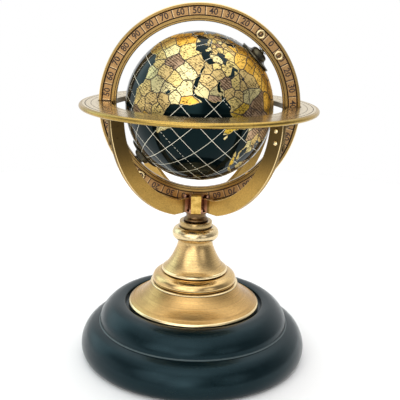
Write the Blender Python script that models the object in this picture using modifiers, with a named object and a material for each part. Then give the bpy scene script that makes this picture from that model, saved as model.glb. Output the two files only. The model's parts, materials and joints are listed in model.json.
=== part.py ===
"""Desktop globe on a turned brass stand, with a tilting meridian ring and a spinning globe.

Metres, +Z up. The origin is on the ground under the stand's axis. The meridian ring lies in the
XZ plane and the globe's polar axis leans towards +X. Lengths below are in millimetres.
"""
import math

import bmesh
import bpy
from mathutils import Matrix, Vector

MM = 0.001

# Driving dimensions, in millimetres
GAP = 0.3                    # clearance between neighbouring pieces
CENTRE_Z = 166.9             # centre of globe, meridian ring and arms
POLE_ANGLE = 43.0            # polar axis above +X, in degrees
GLOBE_R = 46.4
GLOBE_WALL = 1.5
MERIDIAN_IN = 52.2
MERIDIAN_OUT = 63.2
MERIDIAN_T = 3.6
HORIZON_IN = 54.6
HORIZON_OUT = 75.0
HORIZON_TOP = 168.5
HORIZON_T = 3.3
ARM_IN = 60.5
ARM_OUT = 70.3
ARM_T = 2.7
HUB_FLATS = 15.5             # octagon, across flats
HUB_LOW = 98.0
HUB_HIGH = 110.5
SLOT_W = MERIDIAN_T + 1.0    # hub slot and horizon notches
STEM_R = 2.5                 # tie rod
BORE_R = STEM_R + GAP        # bores along the stand's axis
PIN_R = 1.7                  # pole pins, inside the globe and the caps
PIN_NECK_R = 0.9             # pole pins, inside the meridian ring
PIN_BORE_R = PIN_R + GAP
EYELET_ANGLE = 8.4           # eyelets either side of each pole, in degrees
EYELET_AT_R = 58.0
RIVETS = ((65.2, -6.0), (65.2, -13.0))   # arm rivets: distance from the axis, height below centre

SEG_LARGE = 48
SEG_MID = 36
SEG_SMALL = 24
SEG_TINY = 12

BRASS = ("antique_brass", (0.48, 0.32, 0.13), 0.36, 1.0)
BRASS_LIGHT = ("turned_brass", (0.62, 0.43, 0.18), 0.30, 1.0)
BRASS_DARK = ("dark_brass", (0.17, 0.11, 0.05), 0.42, 1.0)
BRONZE = ("dark_bronze", (0.05, 0.045, 0.03), 0.38, 1.0)
STEEL = ("zinc_steel", (0.45, 0.45, 0.44), 0.40, 1.0)
WOOD = ("painted_wood", (0.012, 0.035, 0.038), 0.38, 0.0)
FELT = ("green_felt", (0.02, 0.05, 0.035), 0.95, 0.0)
OCEAN = ("black_lacquer", (0.004, 0.006, 0.009), 0.12, 0.0)
CARD = ("pressed_board", (0.35, 0.28, 0.18), 0.80, 0.0)


def clear_scene():
    for obj in list(bpy.data.objects):
        bpy.data.objects.remove(obj, do_unlink=True)


def new_collection(name):
    coll = bpy.data.collections.new(name)
    bpy.context.scene.collection.children.link(coll)
    return coll


def material(spec, name):
    label, colour, rough, metal = spec
    mat = bpy.data.materials.new(name + "_" + label)
    mat.use_nodes = True
    shader = mat.node_tree.nodes["Principled BSDF"]
    shader.inputs["Base Color"].default_value = (*colour, 1.0)
    shader.inputs["Roughness"].default_value = rough
    shader.inputs["Metallic"].default_value = metal
    mat.diffuse_color = (*colour, 1.0)
    return mat


def add_object(name, mesh, spec=None, parent=None, matrix=None):
    obj = bpy.data.objects.new(name, mesh)
    if spec is None:
        CUTTERS.objects.link(obj)
        obj.hide_render = True
        obj.display_type = "WIRE"
    else:
        PARTS.objects.link(obj)
        mesh.materials.append(material(spec, name))
    if parent is not None:
        obj.parent = parent
    if matrix is not None:
        obj.matrix_local = matrix
    return obj


def place(x=0.0, y=0.0, z=0.0, turn=0.0):
    """Local frame at x, y, z (mm), turned about Z."""
    return Matrix.Translation((x * MM, y * MM, z * MM)) @ Matrix.Rotation(turn, 4, "Z")


def smooth(obj, angle=35.0):
    obj.data.shade_smooth()
    obj.data.set_sharp_from_angle(angle=math.radians(angle))


def profile_mesh(name, points, closed):
    """An edge profile in the local XZ plane, from (radius, height) in mm."""
    mesh = bpy.data.meshes.new(name)
    verts = [(r * MM, 0.0, z * MM) for r, z in points]
    edges = [(i, i + 1) for i in range(len(points) - 1)]
    if closed:
        edges.append((len(points) - 1, 0))
    mesh.from_pydata(verts, edges, [])
    return mesh


def lathe(name, points, segs, spec=None, closed=True, parent=None, matrix=None, angle=35.0):
    """A turned piece; the profile runs down the outside, then up the bore."""
    obj = add_object(name, profile_mesh(name, points, closed), spec, parent, matrix)
    screw = obj.modifiers.new("Turn", "SCREW")
    screw.axis = "Z"
    screw.steps = segs
    screw.render_steps = segs
    screw.use_merge_vertices = True
    screw.merge_threshold = 0.000001
    screw.use_smooth_shade = True
    if spec is not None:
        weld_turned(obj, angle)
    return obj


def weld_turned(obj, angle):
    """Keep the turned surface as the object's mesh, shaded smooth with sharp edges."""
    bpy.context.view_layer.update()
    graph = bpy.context.evaluated_depsgraph_get()
    mesh = bpy.data.meshes.new_from_object(obj.evaluated_get(graph))
    mesh.name = obj.name
    obj.modifiers.clear()
    obj.data = mesh
    mesh.shade_smooth()
    mesh.set_sharp_from_angle(angle=math.radians(angle))


def box(name, size, spec=None, parent=None, matrix=None, centre=(0.0, 0.0, 0.0)):
    mesh = bpy.data.meshes.new(name)
    bm = bmesh.new()
    bmesh.ops.create_cube(bm, size=1.0)
    bmesh.ops.scale(bm, vec=Vector(size) * MM, verts=bm.verts)
    bmesh.ops.translate(bm, vec=Vector(centre) * MM, verts=bm.verts)
    bm.to_mesh(mesh)
    bm.free()
    return add_object(name, mesh, spec, parent, matrix)


def rod(name, radius, low, high, segs, spec=None, parent=None, matrix=None):
    """A straight cylinder along local Z from low to high."""
    mesh = bpy.data.meshes.new(name)
    bm = bmesh.new()
    bmesh.ops.create_cone(bm, cap_ends=True, segments=segs, radius1=radius * MM,
                          radius2=radius * MM, depth=(high - low) * MM)
    bmesh.ops.translate(bm, vec=(0.0, 0.0, (low + high) / 2 * MM), verts=bm.verts)
    bm.to_mesh(mesh)
    bm.free()
    obj = add_object(name, mesh, spec, parent, matrix)
    if spec is not None:
        smooth(obj)
    return obj


def cut(obj, cutter, name="Cut"):
    mod = obj.modifiers.new(name, "BOOLEAN")
    mod.operation = "DIFFERENCE"
    mod.solver = "EXACT"
    mod.object = cutter


def flat_piece(name, outline, thickness, spec, parent=None, matrix=None):
    """A flat outline in local XY, given half its thickness either side of z = 0."""
    curve = bpy.data.curves.new(name, "CURVE")
    curve.dimensions = "2D"
    curve.fill_mode = "BOTH"
    curve.extrude = thickness / 2 * MM
    spline = curve.splines.new("POLY")
    spline.points.add(len(outline) - 1)
    for point, (x, y) in zip(spline.points, outline):
        point.co = (x * MM, y * MM, 0.0, 1.0)
    spline.use_cyclic_u = True
    flat = bpy.data.objects.new(name + "_outline", curve)
    bpy.context.scene.collection.objects.link(flat)
    bpy.context.view_layer.update()
    mesh = bpy.data.meshes.new_from_object(flat.evaluated_get(bpy.context.evaluated_depsgraph_get()))
    mesh.name = name
    bpy.data.objects.remove(flat, do_unlink=True)
    bm = bmesh.new()
    bm.from_mesh(mesh)
    bmesh.ops.remove_doubles(bm, verts=bm.verts, dist=0.00001)
    bm.to_mesh(mesh)
    bm.free()
    mesh.materials.clear()
    return add_object(name, mesh, spec, parent, matrix)


def sector(name, r_in, r_out, thickness, start, end, steps, spec, parent=None, matrix=None):
    """A flat ring sector in the frame's XZ plane, between two angles from +X."""
    outline = arc_points((0.0, 0.0), r_out, start, end, steps)
    outline += arc_points((0.0, 0.0), r_in, end, start, steps)
    upright = (matrix or Matrix()) @ Matrix.Rotation(math.pi / 2, 4, "X")
    return flat_piece(name, outline, thickness, spec, parent, upright)


def arc_points(centre, radius, start, end, steps):
    """Points on an arc in (radius, height), angles in degrees from +R."""
    cr, cz = centre
    out = []
    for i in range(steps + 1):
        t = math.radians(start + (end - start) * i / steps)
        out.append((cr + radius * math.cos(t), cz + radius * math.sin(t)))
    return out


# ---------------------------------------------------------------- wooden base

def make_base():
    profile = [(45.7, 33.5), (45.7, 35.6), (47.4, 36.5), (51.2, 36.5), (55.2, 34.9), (59.3, 31.2),
               (61.8, 27.2), (62.7, 23.2), (64.4, 22.6), (68.4, 20.9), (71.8, 17.6), (74.1, 13.0),
               (75.0, 8.6), (74.6, 4.6), (73.0, 1.8), (70.8, 0.6), (60.4, 0.6), (60.4, 1.5),
               (9.0, 1.5), (9.0, 9.0), (BORE_R, 9.0), (BORE_R, 33.5)]
    lathe("wooden_base", profile, SEG_LARGE, WOOD, angle=28.0)
    pad = [(60.0, 1.2), (60.0, 0.0), (9.5, 0.0), (9.5, 1.2)]
    lathe("felt_pad", pad, SEG_MID, FELT)


def make_tie_rod():
    rod("tie_rod", STEM_R, 3.2, 101.0, 20, STEEL)
    lathe("base_washer", [(7.5, 8.7), (7.5, 7.5), (BORE_R, 7.5), (BORE_R, 8.7)], 20, STEEL)
    lathe("base_nut", [(5.4, 7.2), (5.4, 3.6), (3.3, 3.6), (3.3, 7.2)], 6, STEEL)


# ---------------------------------------------------------------- turned brass stand

def make_turned_stand():
    plate = [(28.6, 49.2), (32.4, 45.4), (36.4, 41.7), (40.6, 38.4), (41.2, 38.3), (43.5, 36.6),
             (43.6, 33.8), (39.8, 33.8), (27.4, 45.0), (BORE_R, 45.0), (BORE_R, 49.2)]
    lathe("foot_plate", plate, SEG_LARGE, BRASS_LIGHT, angle=50.0)
    ring = [(20.9, 57.9), (23.2, 57.2), (25.8, 55.8), (27.5, 53.5), (27.5, 50.8), (28.9, 50.3),
            (28.9, 49.5), (BORE_R, 49.5), (BORE_R, 57.9)]
    lathe("foot_torus", ring, SEG_MID, BRASS_LIGHT)
    bell = [(11.4, 79.4), (11.6, 76.4), (12.9, 72.8), (14.6, 69.0), (16.6, 65.2), (18.9, 61.8),
            (21.6, 59.0), (21.6, 58.2), (BORE_R, 58.2), (BORE_R, 79.4)]
    lathe("bell_column", bell, SEG_MID, BRASS_LIGHT, angle=40.0)
    bead = arc_points((10.9, 83.8), 4.4, 88, -88, 6)
    lathe("collar_bead", [(9.0, 88.2)] + bead + [(BORE_R, 79.7), (BORE_R, 88.2)], SEG_MID,
          BRASS_LIGHT)
    step = [(10.2, 92.3), (10.7, 91.6), (10.7, 88.5), (BORE_R, 88.5), (BORE_R, 92.3)]
    lathe("collar_step", step, SEG_SMALL, BRASS)
    neck = [(6.6, 97.7), (6.6, 94.6), (7.6, 93.8), (7.9, 92.6), (BORE_R, 92.6), (BORE_R, 97.7)]
    lathe("neck_spacer", neck, SEG_SMALL, BRASS_DARK)


def make_hub():
    """Octagonal hub: a slot along X for the meridian ring, four diagonal slots for the arms."""
    flat = HUB_FLATS / 2 / math.cos(math.pi / 8)
    chamfer = 0.5
    shape = [(flat - chamfer, HUB_HIGH), (flat, HUB_HIGH - chamfer), (flat, HUB_LOW + chamfer),
             (flat - chamfer, HUB_LOW), (3.1, HUB_LOW), (3.1, 101.3), (0.0, 101.3)]
    hub = lathe("hub", [(0.0, HUB_HIGH)] + shape, 8, BRASS, closed=False,
                matrix=place(turn=math.pi / 8), angle=20.0)
    slot_low = CENTRE_Z - MERIDIAN_OUT - 0.4
    slot = box("cut_hub_slot", (40.0, SLOT_W, 20.0), matrix=place(z=slot_low + 10.0))
    cut(hub, slot, "Meridian slot")
    for i in range(4):
        turn = math.radians(45.0 + 90.0 * i)
        socket = box("cut_hub_arm_%d" % i, (6.0, ARM_T + 2 * GAP, 20.0),
                     matrix=place(z=HUB_LOW + 1.2 + 10.0, turn=turn), centre=(9.0, 0.0, 0.0))
        cut(hub, socket, "Arm socket")


# ---------------------------------------------------------------- arms and their brackets

ARM_NAMES = ("arm_rear_right", "arm_rear_left", "arm_front_left", "arm_front_right")


def make_arms():
    top = HORIZON_TOP - HORIZON_T - GAP
    outer_end = -math.degrees(math.asin((CENTRE_Z - top) / ((ARM_IN + ARM_OUT) / 2)))
    inner_start = -math.degrees(math.acos(6.6 / ((ARM_IN + ARM_OUT) / 2)))
    for i, name in enumerate(ARM_NAMES):
        turn = math.radians(45.0 + 90.0 * i)
        arm = sector(name, ARM_IN, ARM_OUT, ARM_T, inner_start, outer_end, 16, BRASS,
                     matrix=place(z=CENTRE_Z, turn=turn))
        level = box("cut_arm_top_%d" % i, (30.0, 10.0, 10.0),
                    matrix=place(z=top + 5.0, turn=turn), centre=(65.0, 0.0, 0.0))
        foot = box("cut_arm_foot_%d" % i, (20.0, 10.0, 10.0),
                   matrix=place(z=HUB_LOW + 1.2 + GAP - 5.0, turn=turn), centre=(4.0, 0.0, 0.0))
        root = box("cut_arm_root_%d" % i, (6.3, 10.0, 40.0),
                   matrix=place(z=HUB_LOW + 10.0, turn=turn), centre=(3.15, 0.0, 0.0))
        cut(arm, level, "Level top")
        cut(arm, foot, "Foot")
        cut(arm, root, "Root")
        hand = 1.0 if name.endswith("right") else -1.0
        for j, (dist, drop) in enumerate(RIVETS):
            hole = rod("cut_arm_rivet_%d_%d" % (i, j), 1.15, -6.0, 6.0, SEG_TINY,
                       matrix=side_frame(turn, dist, drop, hand))
            cut(arm, hole, "Rivet hole")
        make_bracket(i, name.replace("arm_", ""), turn, hand)


def side_frame(turn, dist, drop, hand):
    """Frame on an arm's middle plane: local Z points away from its bracket."""
    at = Matrix.Translation((dist * MM, 0.0, (CENTRE_Z + drop) * MM))
    return Matrix.Rotation(turn, 4, "Z") @ at @ Matrix.Rotation(hand * math.pi / 2, 4, "X")


def make_bracket(i, short, turn, hand):
    """Angle bracket on one face of the arm, under the horizon ring, with two rivets and a screw."""
    leg, foot, thick, wide = 15.2, 8.0, 1.4, 7.0
    side = ARM_T / 2 + GAP
    z_top = HORIZON_TOP - HORIZON_T - GAP
    outline = [(side, z_top), (side + foot, z_top), (side + foot, z_top - thick),
               (side + thick, z_top - thick), (side + thick, z_top - leg), (side, z_top - leg)]
    across = Matrix.Rotation(hand * math.pi / 2, 4, "Z") @ Matrix.Rotation(math.pi / 2, 4, "X")
    plate = flat_piece("bracket_" + short, outline, wide, BRASS_DARK,
                       matrix=place(turn=turn) @ place(RIVETS[0][0]) @ across)
    for j, (dist, drop) in enumerate(RIVETS):
        frame = side_frame(turn, dist, drop, hand)
        hole = rod("cut_bracket_rivet_%d_%d" % (i, j), 1.15, -6.0, 6.0, SEG_TINY, matrix=frame)
        cut(plate, hole, "Rivet hole")
        make_rivet("rivet_%s_%d" % (short, j + 1), frame, side + thick, hand > 0.0)
    screw = screw_frame(turn, hand)
    hole = rod("cut_bracket_screw_%d" % i, 1.3, z_top - 6.0, z_top + 2.0, SEG_TINY, matrix=screw)
    cut(plate, hole, "Screw hole")
    under = z_top - thick - GAP
    shape = [(0.0, z_top + 2.2), (1.0, z_top + 2.2), (1.0, under), (2.3, under),
             (2.3, under - 0.7), (1.5, under - 1.5), (0.0, under - 1.7)]
    lathe("ring_screw_" + short, shape, SEG_TINY, BRASS_DARK, closed=False, matrix=screw)


def screw_frame(turn, hand):
    """Vertical axis of the screw through a bracket's foot, beside its arm."""
    return place(turn=turn) @ place(RIVETS[0][0], hand * (ARM_T / 2 + GAP + 1.4 + 3.4))


def make_rivet(name, frame, far, head_on_arm):
    """Domed head on the arm (or on the bracket), shank through both, flat tail on the other side."""
    near = ARM_T / 2 + GAP
    head = [(0.0, near + 0.9), (0.9, near + 0.75), (1.45, near + 0.3), (1.6, near), (0.85, near)]
    shape = head + [(0.85, -far - 0.2), (0.0, -far - 0.2)]
    if not head_on_arm:
        drop = far + GAP
        shape = [(0.0, near - GAP), (0.85, near - GAP), (0.85, -drop), (1.6, -drop),
                 (1.45, -drop - 0.3), (0.9, -drop - 0.75), (0.0, -drop - 0.9)]
    lathe(name, shape, SEG_TINY, BRASS_LIGHT, closed=False, matrix=frame)


# ---------------------------------------------------------------- horizon ring

def make_horizon():
    low = HORIZON_TOP - HORIZON_T
    profile = [(HORIZON_IN, HORIZON_TOP), (73.8, HORIZON_TOP), (74.6, HORIZON_TOP - 0.3),
               (HORIZON_OUT, HORIZON_TOP - 1.1), (74.6, low + 0.8), (73.4, low), (HORIZON_IN, low)]
    ring = lathe("horizon_ring", profile, 60, BRASS, angle=30.0)
    for side, sign in (("right", 1.0), ("left", -1.0)):
        reach = MERIDIAN_OUT + 0.6
        notch = box("cut_notch_" + side, (reach - 45.0, SLOT_W, 12.0),
                    matrix=place(z=HORIZON_TOP - 1.0), centre=(sign * (reach + 45.0) / 2, 0.0, 0.0))
        cut(ring, notch, "Notch " + side)
    top = HORIZON_TOP - HORIZON_T - GAP
    for i, hand in enumerate((1.0, -1.0, -1.0, 1.0)):
        frame = screw_frame(math.radians(45.0 + 90.0 * i), hand)
        hole = rod("cut_ring_screw_%d" % i, 1.3, top - 2.0, top + 2.5, SEG_TINY, matrix=frame)
        cut(ring, hole, "Blind screw hole")


# ---------------------------------------------------------------- meridian ring and pivots

def pole_frame(deg):
    """Frame at the globe's centre with local Z along a direction in the XZ plane."""
    return Matrix.Translation((0, 0, 0)) @ Matrix.Rotation(math.radians(90.0 - deg), 4, "Y")


def face_frame(deg, radius):
    """Frame on the meridian ring at an angle; local Z points out of its front face (-Y)."""
    t = math.radians(deg)
    at = Matrix.Translation((radius * math.cos(t) * MM, 0.0, radius * math.sin(t) * MM))
    return at @ Matrix.Rotation(math.pi / 2, 4, "X")


def make_meridian(tilt):
    half = MERIDIAN_T / 2
    front = [(MERIDIAN_IN, half), (55.2, half), (55.7, half - 0.35), (60.9, half - 0.35),
             (61.4, half), (MERIDIAN_OUT - 0.2, half)]
    outer = [(MERIDIAN_OUT, half - 0.3), (MERIDIAN_OUT, -half)]
    inner = [(MERIDIAN_IN, -half)]
    profile = front + outer + inner
    lying = Matrix.Rotation(math.pi / 2, 4, "X")
    ring = lathe("meridian_ring", profile, 72, BRASS, parent=tilt, matrix=lying, angle=25.0)
    for tag, deg in (("north", POLE_ANGLE), ("south", POLE_ANGLE + 180.0)):
        bore = rod("cut_pin_" + tag, PIN_NECK_R + GAP, MERIDIAN_IN - 3.0, 60.3, 16, parent=tilt,
                   matrix=pole_frame(deg))
        cut(ring, bore, "Pin bore " + tag)
        make_pivot(tag, deg, tilt, ring)


def make_pivot(tag, deg, tilt, ring):
    """Pole pin, thin washer, rear strap and the two eyelets that hold the strap."""
    half = MERIDIAN_T / 2
    shoulder = MERIDIAN_IN - GAP
    pin = [(0.0, 60.0), (PIN_NECK_R, 60.0), (PIN_NECK_R, shoulder), (PIN_R, shoulder),
           (PIN_R, 41.0), (0.0, 41.0)]
    lathe("pole_pin_" + tag, pin, 16, BRONZE, closed=False, parent=tilt, matrix=pole_frame(deg))
    washer = [(2.9, 51.9), (2.9, 51.4), (PIN_BORE_R, 51.4), (PIN_BORE_R, 51.9)]
    lathe("pole_washer_" + tag, washer, 16, BRONZE, parent=tilt, matrix=pole_frame(deg))
    strap = sector("pivot_strap_" + tag, 54.8, 61.2, 1.2, -13.0, 13.0, 6, BRASS_DARK, tilt,
                   pole_frame_flat(deg, half + GAP + 0.6))
    for j, side in enumerate((EYELET_ANGLE, -EYELET_ANGLE)):
        at = face_frame(deg + side, EYELET_AT_R)
        hole = rod("cut_eyelet_%s_%d" % (tag, j), 1.75, -8.0, 8.0, SEG_TINY, parent=tilt, matrix=at)
        cut(ring, hole, "Eyelet hole")
        cut(strap, hole, "Eyelet hole")
        top = half - 0.05 + GAP
        shape = [(0.0, top + 0.3), (1.3, top + 0.4), (1.9, top + 1.0), (2.6, top + 0.8),
                 (2.95, top), (1.4, top), (1.4, -half - GAP - 1.6), (0.0, -half - GAP - 1.6)]
        lathe("eyelet_%s_%d" % (tag, j + 1), shape, 14, BRASS_LIGHT, closed=False, parent=tilt,
              matrix=at)


def pole_frame_flat(deg, back):
    """Frame for a flat sector behind the ring, with its middle at an angle."""
    return Matrix.Translation((0, back * MM, 0)) @ Matrix.Rotation(-math.radians(deg), 4, "Y")


# ---------------------------------------------------------------- globe

def sphere_arc(radius, start, end, steps):
    """(distance from axis, height along axis) on a sphere, angles from the equator."""
    return arc_points((0.0, 0.0), radius, start, end, steps)


def make_globe(spin):
    hole = 3.6
    top = math.degrees(math.acos(hole / GLOBE_R))
    top_in = math.degrees(math.acos(hole / (GLOBE_R - GLOBE_WALL)))
    low = math.degrees(math.asin(0.15 / GLOBE_R))
    shell = sphere_arc(GLOBE_R, top, low, 8)
    shell += sphere_arc(GLOBE_R - GLOBE_WALL, low, top_in, 5)
    for tag, turn in (("north", 0.0), ("south", math.pi)):
        lathe("globe_" + tag, shell, 44, OCEAN, parent=spin, matrix=Matrix.Rotation(turn, 4, "X"),
              angle=40.0)
    inner = GLOBE_R - GLOBE_WALL - 3 * GAP
    band = [(inner - 0.45, 5.0), (inner, 0.0), (inner - 0.45, -5.0), (inner - 1.8, -5.0),
            (inner - 1.4, 0.0), (inner - 1.8, 5.0)]
    lathe("equator_band", band, 32, CARD, parent=spin)
    tube = [(3.2, 45.0), (3.2, -45.0), (PIN_BORE_R, -45.0), (PIN_BORE_R, 45.0)]
    lathe("axis_tube", tube, 16, STEEL, parent=spin)
    for tag, turn in (("north", 0.0), ("south", math.pi)):
        cap = [(2.4, 51.0), (4.4, 50.4), (5.5, 49.2), (6.0, 47.8), (8.0, 46.8), (10.9, 46.1),
               (11.2, 45.5)]
        cap += sphere_arc(GLOBE_R + 0.3, 78.5, 87.4, 2)
        lathe("pole_cap_" + tag, cap, 24, BRONZE, parent=spin, matrix=Matrix.Rotation(turn, 4, "X"))


clear_scene()
PARTS = new_collection("desktop_globe_on_stand")
CUTTERS = new_collection("cutters")

make_base()
make_tie_rod()
make_turned_stand()
make_hub()
make_arms()
make_horizon()

TILT = bpy.data.objects.new("meridian_tilt_axis", None)
PARTS.objects.link(TILT)
TILT.location = (0.0, 0.0, CENTRE_Z * MM)
SPIN = bpy.data.objects.new("globe_spin_axis", None)
PARTS.objects.link(SPIN)
SPIN.parent = TILT
SPIN.rotation_euler = (0.0, math.radians(90.0 - POLE_ANGLE), 0.0)
make_meridian(TILT)
make_globe(SPIN)
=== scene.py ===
import json
import math

import bmesh
import bpy
from mathutils import Matrix, Vector, noise
from mathutils.geometry import delaunay_2d_cdt


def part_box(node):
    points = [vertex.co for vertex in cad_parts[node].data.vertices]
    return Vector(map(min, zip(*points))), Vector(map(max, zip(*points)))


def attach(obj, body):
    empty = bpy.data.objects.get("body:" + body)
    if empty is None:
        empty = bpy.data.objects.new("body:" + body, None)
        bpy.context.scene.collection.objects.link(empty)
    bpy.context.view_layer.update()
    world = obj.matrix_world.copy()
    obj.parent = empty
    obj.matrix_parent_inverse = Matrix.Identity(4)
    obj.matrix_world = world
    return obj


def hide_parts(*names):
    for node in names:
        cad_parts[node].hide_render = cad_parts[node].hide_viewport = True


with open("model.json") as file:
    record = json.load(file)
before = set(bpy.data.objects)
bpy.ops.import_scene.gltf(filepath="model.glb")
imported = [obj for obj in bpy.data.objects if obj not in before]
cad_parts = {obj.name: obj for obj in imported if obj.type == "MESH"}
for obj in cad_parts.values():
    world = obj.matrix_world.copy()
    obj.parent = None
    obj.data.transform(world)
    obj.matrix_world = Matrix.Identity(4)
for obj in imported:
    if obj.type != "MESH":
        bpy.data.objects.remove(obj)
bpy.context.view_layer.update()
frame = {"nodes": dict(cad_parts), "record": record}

# Looks for a desktop globe on a turned brass stand. Lengths are in millimetres, angles in degrees.
# Fine turned pieces replace the faceted CAD ones at the same sizes, the map is laid on the ball
# from outlines in latitude and longitude, and every material is made from nodes.

MM = 0.001
JOINTS = {joint["name"]: joint for joint in frame["record"]["behaviour"]["joints"]}
CENTRE = Vector(JOINTS["meridian_tilt"]["pos_m"])
POLE = Vector(JOINTS["globe_spin"]["axis"]).normalized()
POLE_ANGLE = math.degrees(math.atan2(POLE.z, POLE.x))
ENDS = (("north", POLE_ANGLE), ("south", POLE_ANGLE + 180.0))
FRONT = Vector((0.0, -1.0, 0.0))
EAST = POLE.cross(FRONT)

GLOBE_R = 46.4
MERIDIAN_IN, MERIDIAN_OUT, MERIDIAN_T = 52.2, 63.2, 3.6
BAND_IN, BAND_OUT, BAND_DEPTH = 55.9, 60.8, 0.35      # number band sunk in the meridian ring
BAND_MID = (BAND_IN + BAND_OUT) / 2
FACE = MERIDIAN_T / 2                                 # the ring's front, from its middle plane
BAND_FLOOR = FACE - BAND_DEPTH
EYELET_R, EYELET_ANGLE = 58.0, 8.4
HORIZON_IN, HORIZON_T = 54.6, 3.3
HORIZON_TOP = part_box("horizon_ring")[1][2] / MM
HORIZON_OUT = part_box("horizon_ring")[1][0] / MM
ARM_IN, ARM_OUT, ARM_T = 60.5, 70.3, 2.7
BORE = 2.8                                            # for the rod through the stacked stand


# ---------------------------------------------------------------- the map

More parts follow.
